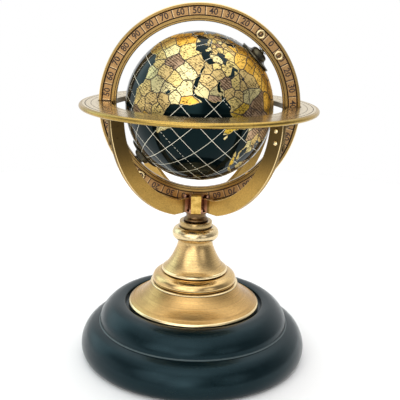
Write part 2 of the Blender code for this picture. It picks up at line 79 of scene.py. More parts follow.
# Each entry is a name and the outline as "latitude longitude" pairs, in degrees.
OUTLINES = """
africa: 35.8 -6, 35.2 -2, 36.8 3, 37 7, 37.3 10, 36.9 11, 35.2 11, 33.8 10.2, 33.2 11.6, 32.8 13.5,
 32.2 15.4, 30.4 18.5, 30.4 19.6, 32 20.2, 32.8 22, 31.6 25, 31 28, 31.5 31, 31.1 32.2, 29.9 32.5,
 27.2 33.9, 24 35.5, 22 36.9, 19 37.3, 18 38.5, 15.5 39.8, 13 42.6, 11.6 43.2, 10.6 44.5, 11.2 48,
 11.9 51.2, 10.3 50.9, 7.5 49.6, 5 48.2, 2 45.8, -1 42.3, -2.6 40.4, -5 39, -7 39.5, -10.5 40.5,
 -15 40.7, -17 39, -19.8 35, -22 35.5, -24.6 35.2, -26 32.8, -28.8 32.2, -31 30.2, -33.8 26, -34.7 20,
 -34.2 18.4, -32 18.2, -29 16.8, -25 14.8, -22 14.2, -18 11.8, -14 12.4, -11 13.8, -8.5 13.3,
 -5.5 12.2, -1.5 9, 1 9.5, 4 9.6, 4.4 6.5, 6.3 4.5, 6.3 2, 5 -1.5, 4.5 -7.5, 7 -11.5, 9.5 -13.5,
 12.5 -16.8, 14.7 -17.4, 16 -16.5, 21 -17, 24 -16, 27 -13.2, 28.5 -11, 30.5 -9.8, 33.3 -8.3;
madagascar: -12 49.3, -15.5 50.4, -18 49.4, -23 47.7, -25.4 46.8, -25.2 45, -22 43.4, -19 44.4,
 -16 44.5, -15.5 47;
eurasia: 30.2 32.7, 31.2 32.6, 31.4 34.3, 33 35.1, 35 35.8, 36.6 36.1, 36.7 34.7, 36.1 33, 36.9 30.7,
 36.2 30.4, 36.8 28, 38 26.4, 39.5 26.2, 40.9 28.8, 40.6 26.2, 40.9 24.5, 40.2 24, 40.5 23, 39.2 23,
 38 24, 37.8 23.4, 36.6 23, 36.8 21.7, 38.2 21.2, 39.6 20, 41.5 19.4, 42.5 18.5, 43.6 16, 45 14.6,
 45.6 13.6, 45.3 12.3, 44 12.6, 42.5 14, 41.9 16.1, 40.6 18.4, 39.9 18.2, 40.4 17, 39 17, 38 15.8,
 39.9 15.7, 41 14, 42 12, 43 10.4, 44.3 9, 43.2 6, 43.4 4, 42.4 3.2, 41.4 2.2, 40 0, 38.8 0.1,
 37.6 -0.9, 36.7 -2.5, 36.1 -5.5, 37 -6.6, 37 -8.9, 38.7 -9.4, 41 -8.8, 43.2 -9.2, 43.6 -7.5, 43.4 -2,
 46 -1.2, 47.5 -2.6, 48.4 -4.7, 48.7 -1.6, 49.7 -1.7, 49.5 0, 51 1.7, 52 4, 53.4 5.8, 53.7 8.6,
 55.5 8.1, 57.6 10.4, 56 10.7, 54.5 10, 54.4 13.4, 54.2 16.5, 54.5 19.5, 55.4 21.1, 57.4 21.6,
 57.1 24.2, 58.5 23.6, 59.4 25, 59.8 30, 60.4 27, 60 23, 61.5 21.4, 63.5 22, 65.6 25.2, 65.4 22,
 63 18.4, 61 17.2, 59.7 18.9, 58.5 16.8, 56.2 16, 55.4 14, 55.6 12.9, 57.6 11.8, 59 10.7, 58 7.5,
 59.5 5.3, 62 5.2, 64 10.4, 66.5 13, 68.6 15.5, 71 17, 76 21, 80 28, 81.5 45, 81.5 65, 81.5 85,
 81.5 105, 81.5 125, 81 140, 78 150, 73.5 157, 70.2 163, 69.8 170, 69.9 176, 68.5 181, 66.2 190,
 64.4 187, 65.4 181, 64.7 177.5, 62.4 179.3, 61.8 174, 60 170, 59.8 164, 58 162, 56 163, 53 160,
 51 156.8, 55 155.7, 58 157.6, 61 162, 62.5 164, 61.7 160, 61.7 156, 59.4 152, 59.4 145, 59 140.8,
 56.5 138, 54.6 135.4, 54 139.5, 53.2 141.2, 50 140.5, 46 138.2, 43 134, 42.4 131, 41.4 129.6,
 39.5 127.5, 37 129.4, 35.2 129, 34.4 126.5, 37 126.6, 38 125, 39.7 125, 40.2 122.4, 39 121.4,
 40.8 121.4, 39.1 117.8, 37.8 119, 37.4 122.4, 36 120.2, 34.5 119.4, 32 121.6, 30 122, 28 121,
 25.5 119.4, 23.3 116.8, 22.2 114, 21.3 110.6, 21.6 108.4, 20 106, 18 106.4, 15.6 108.6, 12.6 109.3,
 10.5 107.2, 8.7 104.9, 10.4 104.6, 12.6 101.8, 13.5 100.6, 12 99.8, 9.2 99.3, 7 100.5, 4 103.4,
 1.4 104.1, 2.5 101.6, 5 100.4, 8 98.3, 12 98.6, 16 97.6, 16 94.5, 18.5 94.1, 21 92, 22.6 90.6,
 21.8 88, 19.7 85.8, 16.5 82, 15.4 80.2, 13 80.3, 10.3 79.8, 8.1 77.5, 10 76.2, 14 74.4, 18.5 72.9,
 21 72.7, 20.8 71, 22.3 69.1, 23.8 68, 25 66.6, 25.3 61.5, 25.7 57.5, 27.1 56.4, 26.6 54, 28 51.2,
 30 50, 30 48.4, 27 49.7, 25.9 50.3, 26.1 51.2, 24.5 51.5, 24.1 53.2, 26 56.2, 24 57, 22.5 59.8,
 20.4 57.8, 18.9 57.5, 17 55.2, 15.6 52, 14 48.7, 12.8 45, 12.8 43.6, 15 42.8, 17 42.3, 20 40.3,
 24 37.7, 27.9 35.3, 29.4 35, 27.9 34.4;
britain: 50.2 -5.4, 51.3 -4.4, 52 -5, 53.3 -4.4, 54.8 -3.4, 56 -5.6, 58.5 -5, 58.4 -3.2, 57.5 -1.9,
 56 -2.8, 54.5 -0.8, 52.8 1.6, 51.2 1.4, 50.6 -1.5;
ireland: 51.6 -9.6, 53.4 -9.8, 55.2 -7.4, 54.4 -5.6, 52.2 -6.4;
iceland: 63.5 -19, 65.4 -24, 66.4 -22, 66.2 -16, 64.4 -14.6;
sri_lanka: 9.7 80, 8.5 81.3, 6.3 81.6, 6 80.4, 8 79.8;
sumatra: 5.6 95.4, 3.6 98.8, 1.4 101, -2 104.6, -5.7 105.7, -3.6 102.3, 0.4 99, 3.6 96.2;
java: -6 106, -6.6 110.6, -7.6 114.4, -8.6 114.2, -7.7 108.6, -6.9 105.4;
lesser_sunda: -8.3 116, -8.4 120, -8.3 125, -9.4 125, -8.9 119, -8.9 116;
borneo: 7 117, 4.5 118.4, 1 118.8, -3.8 116, -3 112, -2.9 110.2, 1.4 109.2, 3.2 113, 5 115;
sulawesi: 1.5 125, 0.5 121, -2 121.4, -4.6 122.4, -5.4 119.6, -2 119.2, 0.8 120;
luzon: 18.5 121, 16 122, 14 124, 13.6 121, 15 120.2;
mindanao: 9.5 126, 6.2 126, 6.6 122.4, 8.4 123.4;
taiwan: 25.2 121.6, 22 120.8, 23.6 120.2;
hainan: 20 111, 18.3 110, 19.2 108.7;
honshu: 41.4 141, 38 141.4, 35.4 140.6, 34.7 137, 33.7 135.8, 34.2 131, 35.6 133, 37 137, 40 139.9;
hokkaido: 45.4 142, 43.3 145.4, 42 143.2, 41.6 140.2, 43.2 140.6;
kyushu: 33.8 131, 31.2 131, 31.4 130.2, 33.2 129.8;
sakhalin: 54.3 142.6, 49 144.4, 46.2 142.8, 50 142.2;
new_guinea: -0.6 131.6, -2 134.2, -1.8 138, -3.6 144.4, -6.6 147.6, -10.4 150.4, -9 146.4, -9 143,
 -8.2 138.2, -5 138, -4 133.4;
australia: -11 142.4, -15 145.4, -19.2 147, -22.6 150.6, -25.5 153, -29 153.4, -33 152, -37.4 150,
 -39 146.4, -38.4 142, -37.6 140, -35.4 137, -34.8 135.4, -32 133, -31.6 130, -33.8 124, -34.8 118.4,
 -34.2 115, -31 115.6, -26 113.2, -22 114, -20.4 118.6, -18 122.2, -14.6 126, -14.8 129, -11.6 131,
 -12.2 136.6, -15 135.8, -17.6 140.4, -15 141.6;
tasmania: -40.8 144.8, -41 148.2, -43.5 147, -42.6 145.4;
new_zealand_north: -34.6 173, -37.6 178.2, -41.4 175.2, -39.4 174, -37 174.6;
new_zealand_south: -40.8 173, -43.6 172.8, -46.5 169, -45.8 166.6, -42 171.4;
north_america: 65.6 -168, 71 -157, 70 -142, 69 -135, 70 -128, 68 -115, 68 -104, 68.5 -96, 72 -95,
 69 -88, 69 -82, 66.5 -86, 63 -91, 59 -94.6, 57 -92.4, 55 -83, 52 -80, 54.6 -79.6, 58.6 -78.4,
 62.4 -77, 60.6 -70, 58.4 -67, 60.4 -64.6, 56 -60.8, 52 -56, 50 -60, 49 -66.4, 47 -65, 45.6 -61.4,
 43.6 -65.8, 44.4 -68.4, 42 -70.4, 40.8 -73.4, 37 -76, 35 -75.8, 32 -81, 28 -80.6, 25.3 -80.6,
 28 -82.8, 30 -84.2, 30.2 -89, 29.2 -91, 29.6 -94.6, 27.6 -97.4, 22 -97.8, 18.8 -95.8, 18.4 -92,
 21.4 -90, 21.4 -87, 16 -88.6, 15.8 -84, 11 -83.8, 9 -82, 9.4 -79.4, 8.6 -77, 7.4 -80, 8.6 -83,
 11 -86, 13.4 -88, 16 -95, 18 -103, 20.6 -105.6, 23.4 -106.8, 27 -110, 31.4 -113.4, 28 -112,
 23 -109.6, 25 -112, 28 -115, 32.6 -117.2, 34.4 -120.6, 38 -123, 43 -124.4, 48.4 -124.6, 50.4 -127,
 54 -130.4, 58 -136, 60.2 -142, 61 -148, 59.4 -151.6, 57 -156, 55 -162, 58.6 -158, 60 -165, 63 -165,
 64.6 -161, 64.6 -166;
baffin: 73.6 -84, 72 -74, 68 -66, 65 -62, 62 -66, 64.6 -74, 68 -74, 70 -80, 71.4 -88;
victoria_island: 73 -106, 69.4 -101, 68.6 -113, 71 -118, 73 -115;
ellesmere: 82.6 -62, 80 -68, 76.6 -80, 76.6 -88, 80 -90, 82 -84;
newfoundland: 51.6 -55.8, 49 -53.6, 46.8 -53, 47.6 -59, 49.4 -57.8;
cuba: 22.2 -84, 23.2 -81, 21 -76, 20 -74.4, 20 -77.4, 21.8 -80;
hispaniola: 19.8 -73, 19.6 -69.6, 18.4 -68.6, 18 -71, 18.4 -74;
greenland: 83 -35, 81.4 -18, 77 -19, 72.6 -23, 69 -25, 66 -35, 60 -43.4, 64 -51.8, 69 -52, 73 -56,
 76 -66, 78 -72, 81.6 -62;
south_america: 8.6 -77, 11 -75, 12 -71.4, 10.6 -66, 10.6 -62, 8 -60, 5.8 -55, 4 -51.6, 0 -50,
 -2.6 -43, -3.4 -39, -5.2 -35.4, -8.6 -35, -13 -38.6, -18 -39.4, -22.8 -42, -25 -48, -29 -49.4,
 -33.8 -53.4, -35 -57, -38.4 -58, -41 -63, -45 -65.6, -47.6 -66, -51 -69, -54.8 -66, -55 -70,
 -51 -74.6, -46 -75, -42 -73.4, -37 -73.4, -30 -71.4, -23 -70.4, -18.4 -70.4, -14 -76.2, -8 -79,
 -4.6 -81.2, -1 -80.6, 2 -78.6, 5 -77.4;
antarctica: -70 -180, -77 -160, -75 -140, -74 -115, -73 -98, -72.6 -78, -66 -64, -63.4 -57, -66 -61,
 -74 -61, -78 -40, -74 -22, -70.6 -8, -69.6 10, -69 30, -66.6 50, -68 68, -66.4 85, -66.2 105,
 -66.4 125, -68 145, -71 165, -70 180, -80 180, -80 -180"""

LAKES = """
black_sea: 41.2 29.2, 42.5 27.8, 43.6 28.6, 45 29.7, 46.4 31, 46 33, 44.5 33.6, 45.2 35.6, 47 38,
 45.4 37.2, 43.5 39.6, 41.8 41.6, 41 39.6, 42 35, 41.3 31.5;
caspian_sea: 46.8 51.5, 45.5 47.4, 43 47.6, 40.3 49.8, 37.6 49.4, 36.8 51.4, 37 53.8, 40 53, 42 52.4,
 44.5 50.5, 45.3 53;
aral_sea: 46.4 61, 45.8 59, 43.8 58.4, 43.8 60.4, 45 61.4;
baikal: 51.6 104, 53.4 108.6, 55.7 109.8, 53 106.6;
victoria: 0.4 32, 0.2 34, -1.2 34, -2.6 33, -2.4 31.8;
tanganyika: -3.4 29.4, -6 29.9, -8.7 31.2, -8.4 30.5, -6 29.1, -3.6 29;
malawi: -9.6 34, -12 34.9, -14.3 35.3, -14 34.5, -11 34;
superior: 46.6 -91, 48.6 -88, 47 -84.6, 46.6 -87;
michigan: 41.8 -87.4, 45.8 -86, 43 -86.4;
huron: 43.2 -82, 45.8 -83.6, 45.4 -80.4;
erie: 41.6 -83, 42.8 -79, 42.4 -79.6"""

# Country seeds: latitude, longitude and tint. A place belongs to the nearest seed, so borders run
# halfway between neighbours.
SEEDS = """
31 -6 o, 29 2 o, 24 -13 o, 17 -1 y, 27 17 y, 16 9 c, 27 29 k, 14 18 m, 16 -9 y, 9 -9 k, 8 -1 y, 9 8 k,
6 20 k, 5 12 k, 16 30 c, 8 30 y, 9 39 c, 5 46 o, 0 38 c, 1 32 c, -6 35 k, -3 23 c, -1 13 c, -12 18 k,
-14 28 k, -15 35 y, -19 30 k, -22 24 k, -22 16 k, -30 23 m, -24 33 o, -19 47 c, 24 45 k, 16 46 c,
21 57 m, 24 54 c, 33 43 k, 35 38 y, 31 36 k, 39 34 c, 40 45 y, 32 54 m, 31 60 k, 38 59 y, 34 66 k,
29 68 y, 41 64 k, 39 71 c, 47 67 k, 42 75 c, 23 78 g, 28 83 m, 24 90 c, 14 77 g, 21 84 g, 28 75 g,
21 96 m, 15 101 c, 18 104 k, 13 106 c, 16 108 m, 4 102 y, 32 88 m, 35 104 m, 40 86 m, 28 112 m,
46 104 o, 43 124 k, 40 127 c, 36 128 k, 45 116 k, 57 42 o, 60 58 o, 61 74 o, 62 92 o, 60 110 o,
63 128 o, 62 148 o, 66 170 o, 56 160 y, 51 136 o, 71 100 o, 70 80 o, 49 31 y, 53 28 k, 52 20 k,
57 25 o, 62 27 o, 63 16 o, 61 9 o, 51 10 k, 47 2 y, 40 -4 o, 39 -8 m, 43 12 c, 47 19 m, 45 25 y,
42 25 k, 39 22 c, 44 20 k, 47 14 y, 50 15 c, 52 5 m, 56 9 k, 54 -2 y, 53 -8 k, 65 -18 k, 7 81 c,
0 102 g, -7 110 y, 0 114 c, 4 116 m, -2 120 k, -9 122 c, 16 121 y, 8 125 k, 24 121 y, 19 110 k,
36 137 c, 43 143 y, 32 131 k, 50 143 o, -4 138 y, -6 144 k, -25 122 y, -20 134 c, -29 135 k,
-23 145 g, -33 146 y, -37 144 c, -42 147 k, -39 175 y, -44 170 k, 64 -153 o, 63 -120 c, 58 -100 y,
50 -122 k, 52 -110 g, 52 -85 c, 52 -72 y, 48 -66 k, 44 -120 y, 42 -108 k, 36 -118 g, 34 -105 y,
42 -96 c, 32 -98 k, 38 -86 y, 32 -84 c, 41 -76 k, 24 -103 c, 18 -93 y, 15 -89 k, 11 -84 c, 68 -75 k,
71 -110 y, 79 -78 c, 72 -40 c, 22 -79 k, 19 -71 y, 4 -74 y, 8 -66 k, 4 -59 c, 4 -54 y, -2 -78 m,
-10 -76 k, -17 -64 y, -23 -58 c, -33 -56 k, -5 -60 c, -6 -46 g, -13 -42 y, -12 -54 k, -22 -47 c,
-28 -52 m, -30 -71 c, -35 -64 y, -44 -68 k, -72 0 c, -72 90 k, -74 -120 y, 75 60 o, 79 16 k"""

# Colour of each tint's foil, and how rough it is.
TINTS = {
    "c": ((0.86, 0.74, 0.36), 0.32),
    "y": ((0.82, 0.63, 0.22), 0.32),
    "k": ((0.84, 0.61, 0.24), 0.36),
    "g": ((0.85, 0.56, 0.06), 0.30),
    "o": ((0.98, 0.55, 0.09), 0.30),
    "m": ((0.50, 0.33, 0.20), 0.40),
}

FACE_LON = 57.0                     # longitude turned towards the front
LAND_LIFT, LAKE_LIFT = 0.06, 0.09   # heights over the ball
LINE_LIFT, SEA_LINE_LIFT = 0.11, 0.03
COAST_W, BORDER_W, LAKE_RIM_W = 0.24, 0.54, 0.16
SEA_LINE_W, LAND_LINE_W, DASH_W = 0.27, 0.20, 0.20
GRID_STEP, GRID_END = 15, 75        # between graticule lines, and where the meridians stop
LINE_STEP = 1.5                     # length of a graticule line's straight pieces
DASHED_LATITUDES = (-66.5, -23.4, 23.4, 66.5)
WIGGLES = ((12.0, 0.0150), (34.0, 0.0080), (70.0, 0.0040))     # frequency, reach
ON_PLANE = 2e-6                     # how near a cut an edge lies to belong to it


def read_outlines(text):
    """[[(latitude, longitude), ...], ...] from entries of a name and pairs."""
    return [[tuple(float(v) for v in pair.split()) for pair in entry.split(":")[1].split(",")]
            for entry in text.split(";")]


def read_seeds(text):
    """[(direction, tint), ...] from entries of a latitude, a longitude and a tint."""
    parts = [entry.split() for entry in text.split(",")]
    return [(unit(float(lat), float(lon)), tint) for lat, lon, tint in parts]


def unit(lat, lon):
    """Direction of a place on a unit globe with its north pole up."""
    la, lo = math.radians(lat), math.radians(lon)
    return Vector((math.cos(la) * math.cos(lo), math.cos(la) * math.sin(lo), math.sin(la)))


def lat_lon(v):
    """Place of a direction, the other way round."""
    return math.degrees(math.asin(max(-1.0, min(1.0, v.z)))), math.degrees(math.atan2(v.y, v.x))


def printed(lat, lon):
    """Where the map shows a place: the print is stretched a little, as its gores are."""
    x = lat / 90.0
    t = math.radians(lon - FACE_LON)
    north = (7.4 * x - 3.3) * (1.0 - x ** 4)
    east = 11.6 * math.sin(t) - 2.2 * math.sin(2 * t) - 5.0 * (1.0 - math.cos(t))
    return lat + north, lon + east


def on_ball(lat, lon, lift):
    """Point at a height over the globe, in metres."""
    lat, lon = printed(lat, lon)
    la, lo = math.radians(lat), math.radians(lon - FACE_LON)
    out = POLE * math.sin(la) + (FRONT * math.cos(lo) + EAST * math.sin(lo)) * math.cos(la)
    return CENTRE + out * (GLOBE_R + lift) * MM


def wiggled(v):
    """A direction moved a fraction of a degree, so that coasts and borders aren't straight."""
    near = Vector()
    for frequency, reach in WIGGLES:
        near += noise.noise_vector(v * frequency) * reach
    return (v + near).normalized()


def sides(outline):
    """An outline's sides, each as its two end points."""
    return zip(outline, outline[1:] + outline[:1])


def inside(place, outline):
    """Whether a (latitude, longitude) lies inside an outline."""
    lat, lon = place
    odd = False
    for (a, b), (c, d) in sides(outline):
        if (a > lat) != (c > lat) and lon < b + (lat - a) * (d - b) / (c - a):
            odd = not odd
    return odd


def patch(outline, grid=3.0, edge=1.3):
    """An outline filled with triangles, as a bmesh on the unit globe."""
    rim = []
    for (a, b), (c, d) in sides(outline):
        n = max(1, round(math.hypot(c - a, d - b) / edge))
        rim += [(a + (c - a) * i / n, b + (d - b) * i / n) for i in range(n)]
    lats, lons = [p[0] for p in rim], [p[1] for p in rim]
    spots = list(rim)
    for i in range(int((max(lats) - min(lats)) / grid) + 1):
        for j in range(int((max(lons) - min(lons)) / grid) + 1):
            spot = (min(lats) + grid * (i + 0.5), min(lons) + grid * (j + 0.5))
            if inside(spot, outline):
                spots.append(spot)
    made = delaunay_2d_cdt([Vector((lon, lat)) for lat, lon in spots], [],
                           [list(range(len(rim)))], 1, 1e-6)
    bm = bmesh.new()
    verts = [bm.verts.new(unit(p.y, p.x)) for p in made[0]]
    for tri in made[2]:
        bm.faces.new([verts[k] for k in tri])
    bmesh.ops.recalc_face_normals(bm, faces=bm.faces)
    return bm


def lay(part, target, lift):
    """Copies a patch onto the ball. Gives the places of its vertices, and the new faces."""
    spot = {v: lat_lon(wiggled(v.co.normalized())) for v in part.verts}
    new = {v: target.verts.new(on_ball(*spot[v], lift)) for v in part.verts}
    return spot, [target.faces.new([new[v] for v in face.verts]) for face in part.faces]


def ribbon(bm, a, b, width):
    """A thin strip on the ball from a to b, points in metres, a little longer than that."""
    along = b - a
    if along.length < 1e-7:
        return
    out = (a + b) / 2 - CENTRE
    side = out.cross(along).normalized() * width / 2 * MM
    tip = along.normalized() * width * 0.3 * MM
    corners = (a - tip - side, b + tip - side, b + tip + side, a - tip + side)
    bm.faces.new([bm.verts.new(p) for p in corners])


def rim_lines(part, spot):
    """Each edge on a patch's rim, with its two ends as points over the ball."""
    return [(edge, [on_ball(*spot[v], LINE_LIFT) for v in edge.verts])
            for edge in part.edges if len(edge.link_faces) == 1]


def country(whole, k, owners, seeds):
    """The part of a land nearest to seed k, and the planes it was cut along by neighbour."""
    place = seeds[k][0]
    part = whole.copy()
    planes = []
    for other in sorted(owners - {k}, key=lambda o: -seeds[o][0].dot(place)):
        away = (seeds[other][0] - place).normalized()
        if all(v.co.dot(away) <= 1e-7 for v in part.verts):
            continue
        bmesh.ops.bisect_plane(part, geom=part.verts[:] + part.edges[:] + part.faces[:], dist=1e-7,
                               plane_co=(0, 0, 0), plane_no=away, clear_outer=True)
        planes.append((other, away))
    return part, planes


def make_land(outlines, seeds, materials, border_ink, coast_ink):
    """Every land, split into countries by the nearest seed, with border and coast lines."""
    land, borders, coasts = bmesh.new(), bmesh.new(), bmesh.new()
    shade = land.faces.layers.float.new("shade")
    for outline in outlines:
        whole = patch(outline)
        owners = {max(range(len(seeds)), key=lambda k: seeds[k][0].dot(v.co)) for v in whole.verts}
        for k in sorted(owners):
            part, planes = country(whole, k, owners, seeds)
            spot, faces = lay(part, land, LAND_LIFT)
            for face in faces:
                face.material_index = list(TINTS).index(seeds[k][1])
                face[shade] = 0.5 + 0.5 * noise.noise(seeds[k][0] * 9.7)
            for edge, (a, b) in rim_lines(part, spot):
                beside = [other for other, away in planes
                          if all(abs(v.co.dot(away)) < ON_PLANE for v in edge.verts)]
                if not beside:
                    ribbon(coasts, a, b, COAST_W)
                elif min(beside) > k:
                    ribbon(borders, a, b, BORDER_W)
            part.free()
        whole.free()
    add_piece("map_land", land, "globe", materials, recalc=False)
    add_piece("map_borders", borders, "globe", [border_ink], smooth=False, recalc=False)
    add_piece("map_coasts", coasts, "globe", [coast_ink], smooth=False, recalc=False)


def make_lakes(lakes, ink, rim_ink):
    """Lakes over the land, with a thin dark rim."""
    water, rims = bmesh.new(), bmesh.new()
    for outline in lakes:
        part = patch(outline, grid=2.0, edge=0.8)
        spot = lay(part, water, LAKE_LIFT)[0]
        for _, (a, b) in rim_lines(part, spot):
            ribbon(rims, a, b, LAKE_RIM_W)
        part.free()
    add_piece("map_lakes", water, "globe", [ink], recalc=False)
    add_piece("map_lake_rims", rims, "globe", [rim_ink], smooth=False, recalc=False)


def make_graticule(outlines, lakes, sea_ink, land_ink):
    """Parallels and meridians, pale on the sea and dark on land; dashed lines on the sea only."""
    sea, dry = bmesh.new(), bmesh.new()

    def on_land(lat, lon):
        spots = [(lat, lon), (lat, lon + 360.0)]
        return (any(inside(s, o) for s in spots for o in outlines)
                and not any(inside(s, o) for s in spots for o in lakes))

    def line(a, b, dashed=False):
        if not on_land((a[0] + b[0]) / 2, (a[1] + b[1]) / 2):
            ribbon(sea, on_ball(*a, SEA_LINE_LIFT), on_ball(*b, SEA_LINE_LIFT),
                   DASH_W if dashed else SEA_LINE_W)
        elif not dashed:
            ribbon(dry, on_ball(*a, LINE_LIFT), on_ball(*b, LINE_LIFT), LAND_LINE_W)

    for lon in range(-180, 180, GRID_STEP):
        for i in range(int(2 * GRID_END / LINE_STEP)):
            lat = -GRID_END + LINE_STEP * i
            line((lat, lon), (lat + LINE_STEP, lon))
    longitudes = [-180.0 + LINE_STEP * i for i in range(int(360 / LINE_STEP))]
    for lat in range(-GRID_END, GRID_END + 1, GRID_STEP):
        for lon in longitudes:
            line((lat, lon), (lat, lon + LINE_STEP))
    for lat in DASHED_LATITUDES:
        for lon in longitudes[::2]:
            line((lat, lon), (lat, lon + LINE_STEP), True)
    add_piece("graticule_sea", sea, "globe", [sea_ink], smooth=False, recalc=False)
    add_piece("graticule_land", dry, "globe", [land_ink], smooth=False, recalc=False)


# ---------------------------------------------------------------- ways to make a piece


def mesh_of(name, bm):
    """The mesh of a bmesh, which is freed."""
    mesh = bpy.data.meshes.new(name)
    bm.to_mesh(mesh)
    bm.free()
    return mesh


def shown(name, data):
    """An object in the scene, for a mesh, curve or camera."""
    obj = bpy.data.objects.new(name, data)
    bpy.context.scene.collection.objects.link(obj)
    return obj


def evaluated_mesh(obj):
    """An object's mesh with its modifiers applied, or a text object's letters."""
    bpy.context.view_layer.update()
    return bpy.data.meshes.new_from_object(
        obj.evaluated_get(bpy.context.evaluated_depsgraph_get()))


def add_piece(name, bm, body, materials, smooth=True, recalc=True):
    """A mesh piece in the row frame that rides on a body."""
    if recalc:
        bmesh.ops.recalc_face_normals(bm, faces=bm.faces)
    mesh = mesh_of(name, bm)
    for material in materials:
        mesh.materials.append(material)
    if smooth:
        mesh.shade_smooth()
    obj = shown(name, mesh)
    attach(obj, body)
    return obj


def spline(points, per=5):
    """A smooth run through points, ends included."""
    out = []
    for i in range(len(points) - 1):
        p0 = points[max(i - 1, 0)]
        p1, p2 = points[i], points[i + 1]
        p3 = points[min(i + 2, len(points) - 1)]
        for k in range(per):
            t = k / per
            out.append(tuple(
                0.5 * (2 * b + (c - a) * t + (2 * a - 5 * b + 4 * c - d) * t * t
                       + (3 * b - a - 3 * c + d) * t ** 3)
                for a, b, c, d in zip(p0, p1, p2, p3)))
    out.append(points[-1])
    return out


def polar(radius, angle):
    """Point at an angle round the origin."""
    return radius * math.cos(math.radians(angle)), radius * math.sin(math.radians(angle))


def arc(centre, radius, start, end, steps):
    """Points along an arc, ends included."""
    run = [polar(radius, start + (end - start) * i / steps) for i in range(steps + 1)]
    return [(centre[0] + x, centre[1] + y) for x, y in run]


def turned(profile, segs, frame_to=None, closed=True, patches=None):
    """bmesh of a profile (distance from the axis, height) turned about local Z, in metres.

    patches maps a material index to a test on the middle of a profile edge.
    """
    bm = bmesh.new()
    rings = []
    for radius, height in profile:
        if radius < 1e-6:
            rings.append([bm.verts.new((0.0, 0.0, height * MM))] * segs)
            continue
        rings.append([bm.verts.new((radius * math.cos(2 * math.pi * k / segs) * MM,
                                    radius * math.sin(2 * math.pi * k / segs) * MM, height * MM))
                      for k in range(segs)])
    pairs = list(zip(range(len(rings) - 1), range(1, len(rings))))
    if closed:
        pairs.append((len(rings) - 1, 0))
    for i, j in pairs:
        index = 0
        mid = ((profile[i][0] + profile[j][0]) / 2, (profile[i][1] + profile[j][1]) / 2)
        for number, test in (patches or {}).items():
            if test(*mid):
                index = number
        for k in range(segs):
            n = (k + 1) % segs
            corners = [rings[i][k], rings[j][k], rings[j][n], rings[i][n]]
            face = bm.faces.new(list(dict.fromkeys(corners)))
            face.material_index = index
    bmesh.ops.transform(bm, matrix=frame_to or Matrix(), verts=bm.verts)
    return bm


def turned_piece(name, profile, segs, body, materials, replaces=(), frame_to=None, closed=True,
                 patches=None, crisp=32.0):
    """A turned piece whose edges stay crisp where they turn by more than an angle."""
    obj = add_piece(name, turned(profile, segs, frame_to, closed, patches), body, materials)
    obj.data.set_sharp_from_angle(angle=math.radians(crisp))
    if replaces:
        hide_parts(*replaces)
    return obj


def axis_frame(deg):
    """Frame at the globe's centre, local Z along a direction in the meridian plane."""
    return Matrix.Translation(CENTRE) @ Matrix.Rotation(math.radians(90.0 - deg), 4, "Y")


def face_frame(deg, radius, lift=0.0):
    """Frame on the meridian ring's front: local Z towards the viewer, local Y outwards."""
    x, z = polar(1.0, deg)
    out = Vector((x, 0.0, z))
    at = CENTRE + out * radius * MM + FRONT * lift * MM
    right = out.cross(FRONT)
    return Matrix((
        (right.x, out.x, FRONT.x, at.x), (right.y, out.y, FRONT.y, at.y),
        (right.z, out.z, FRONT.z, at.z), (0, 0, 0, 1)))


def flat_plate(outline, thickness, frame_to):
    """bmesh of a flat outline in local XY, thickness either side of z = 0."""
    bm = bmesh.new()
    verts = [bm.verts.new((x * MM, y * MM, -thickness / 2 * MM)) for x, y in outline]
    face = bm.faces.new(verts)
    grown = bmesh.ops.extrude_face_region(bm, geom=[face])
    moved = [v for v in grown["geom"] if isinstance(v, bmesh.types.BMVert)]
    bmesh.ops.translate(bm, vec=(0.0, 0.0, thickness * MM), verts=moved)
    bmesh.ops.transform(bm, matrix=frame_to, verts=bm.verts)
    return bm


def soften(obj, width, angle, material=-1):
    """Small rounded edges, in a material of their own if given."""
    mod = obj.modifiers.new("Soft edges", "BEVEL")
    mod.width = width * MM
    mod.segments = 2
    mod.limit_method = "ANGLE"
    mod.angle_limit = math.radians(angle)
    mod.harden_normals = True
    mod.material = material


# ---------------------------------------------------------------- materials

GOLD = (0.62, 0.375, 0.092)
PALE_GOLD = (0.82, 0.57, 0.25)
BROWN = (0.20, 0.105, 0.040)
UMBER = (0.055, 0.028, 0.012)
PAINT_TINT = (0.50, 0.86, 1.0, 1.0)       # of the reflections
LACQUER_TINT = (0.42, 0.92, 1.0, 1.0)
FOIL_TINT = (0.80, 0.62, 0.36, 1.0)
STROKE_GAP = 1.35                         # between a hatched tint's strokes
STROKE_WAVES = tuple(2.0 * math.pi / (STROKE_GAP * MM) * n for n in (0.62, 0.20, 0.76))
STROKE_DEPTH = {"k": 0.35, "m": 0.85}     # how dark the strokes are, by tint


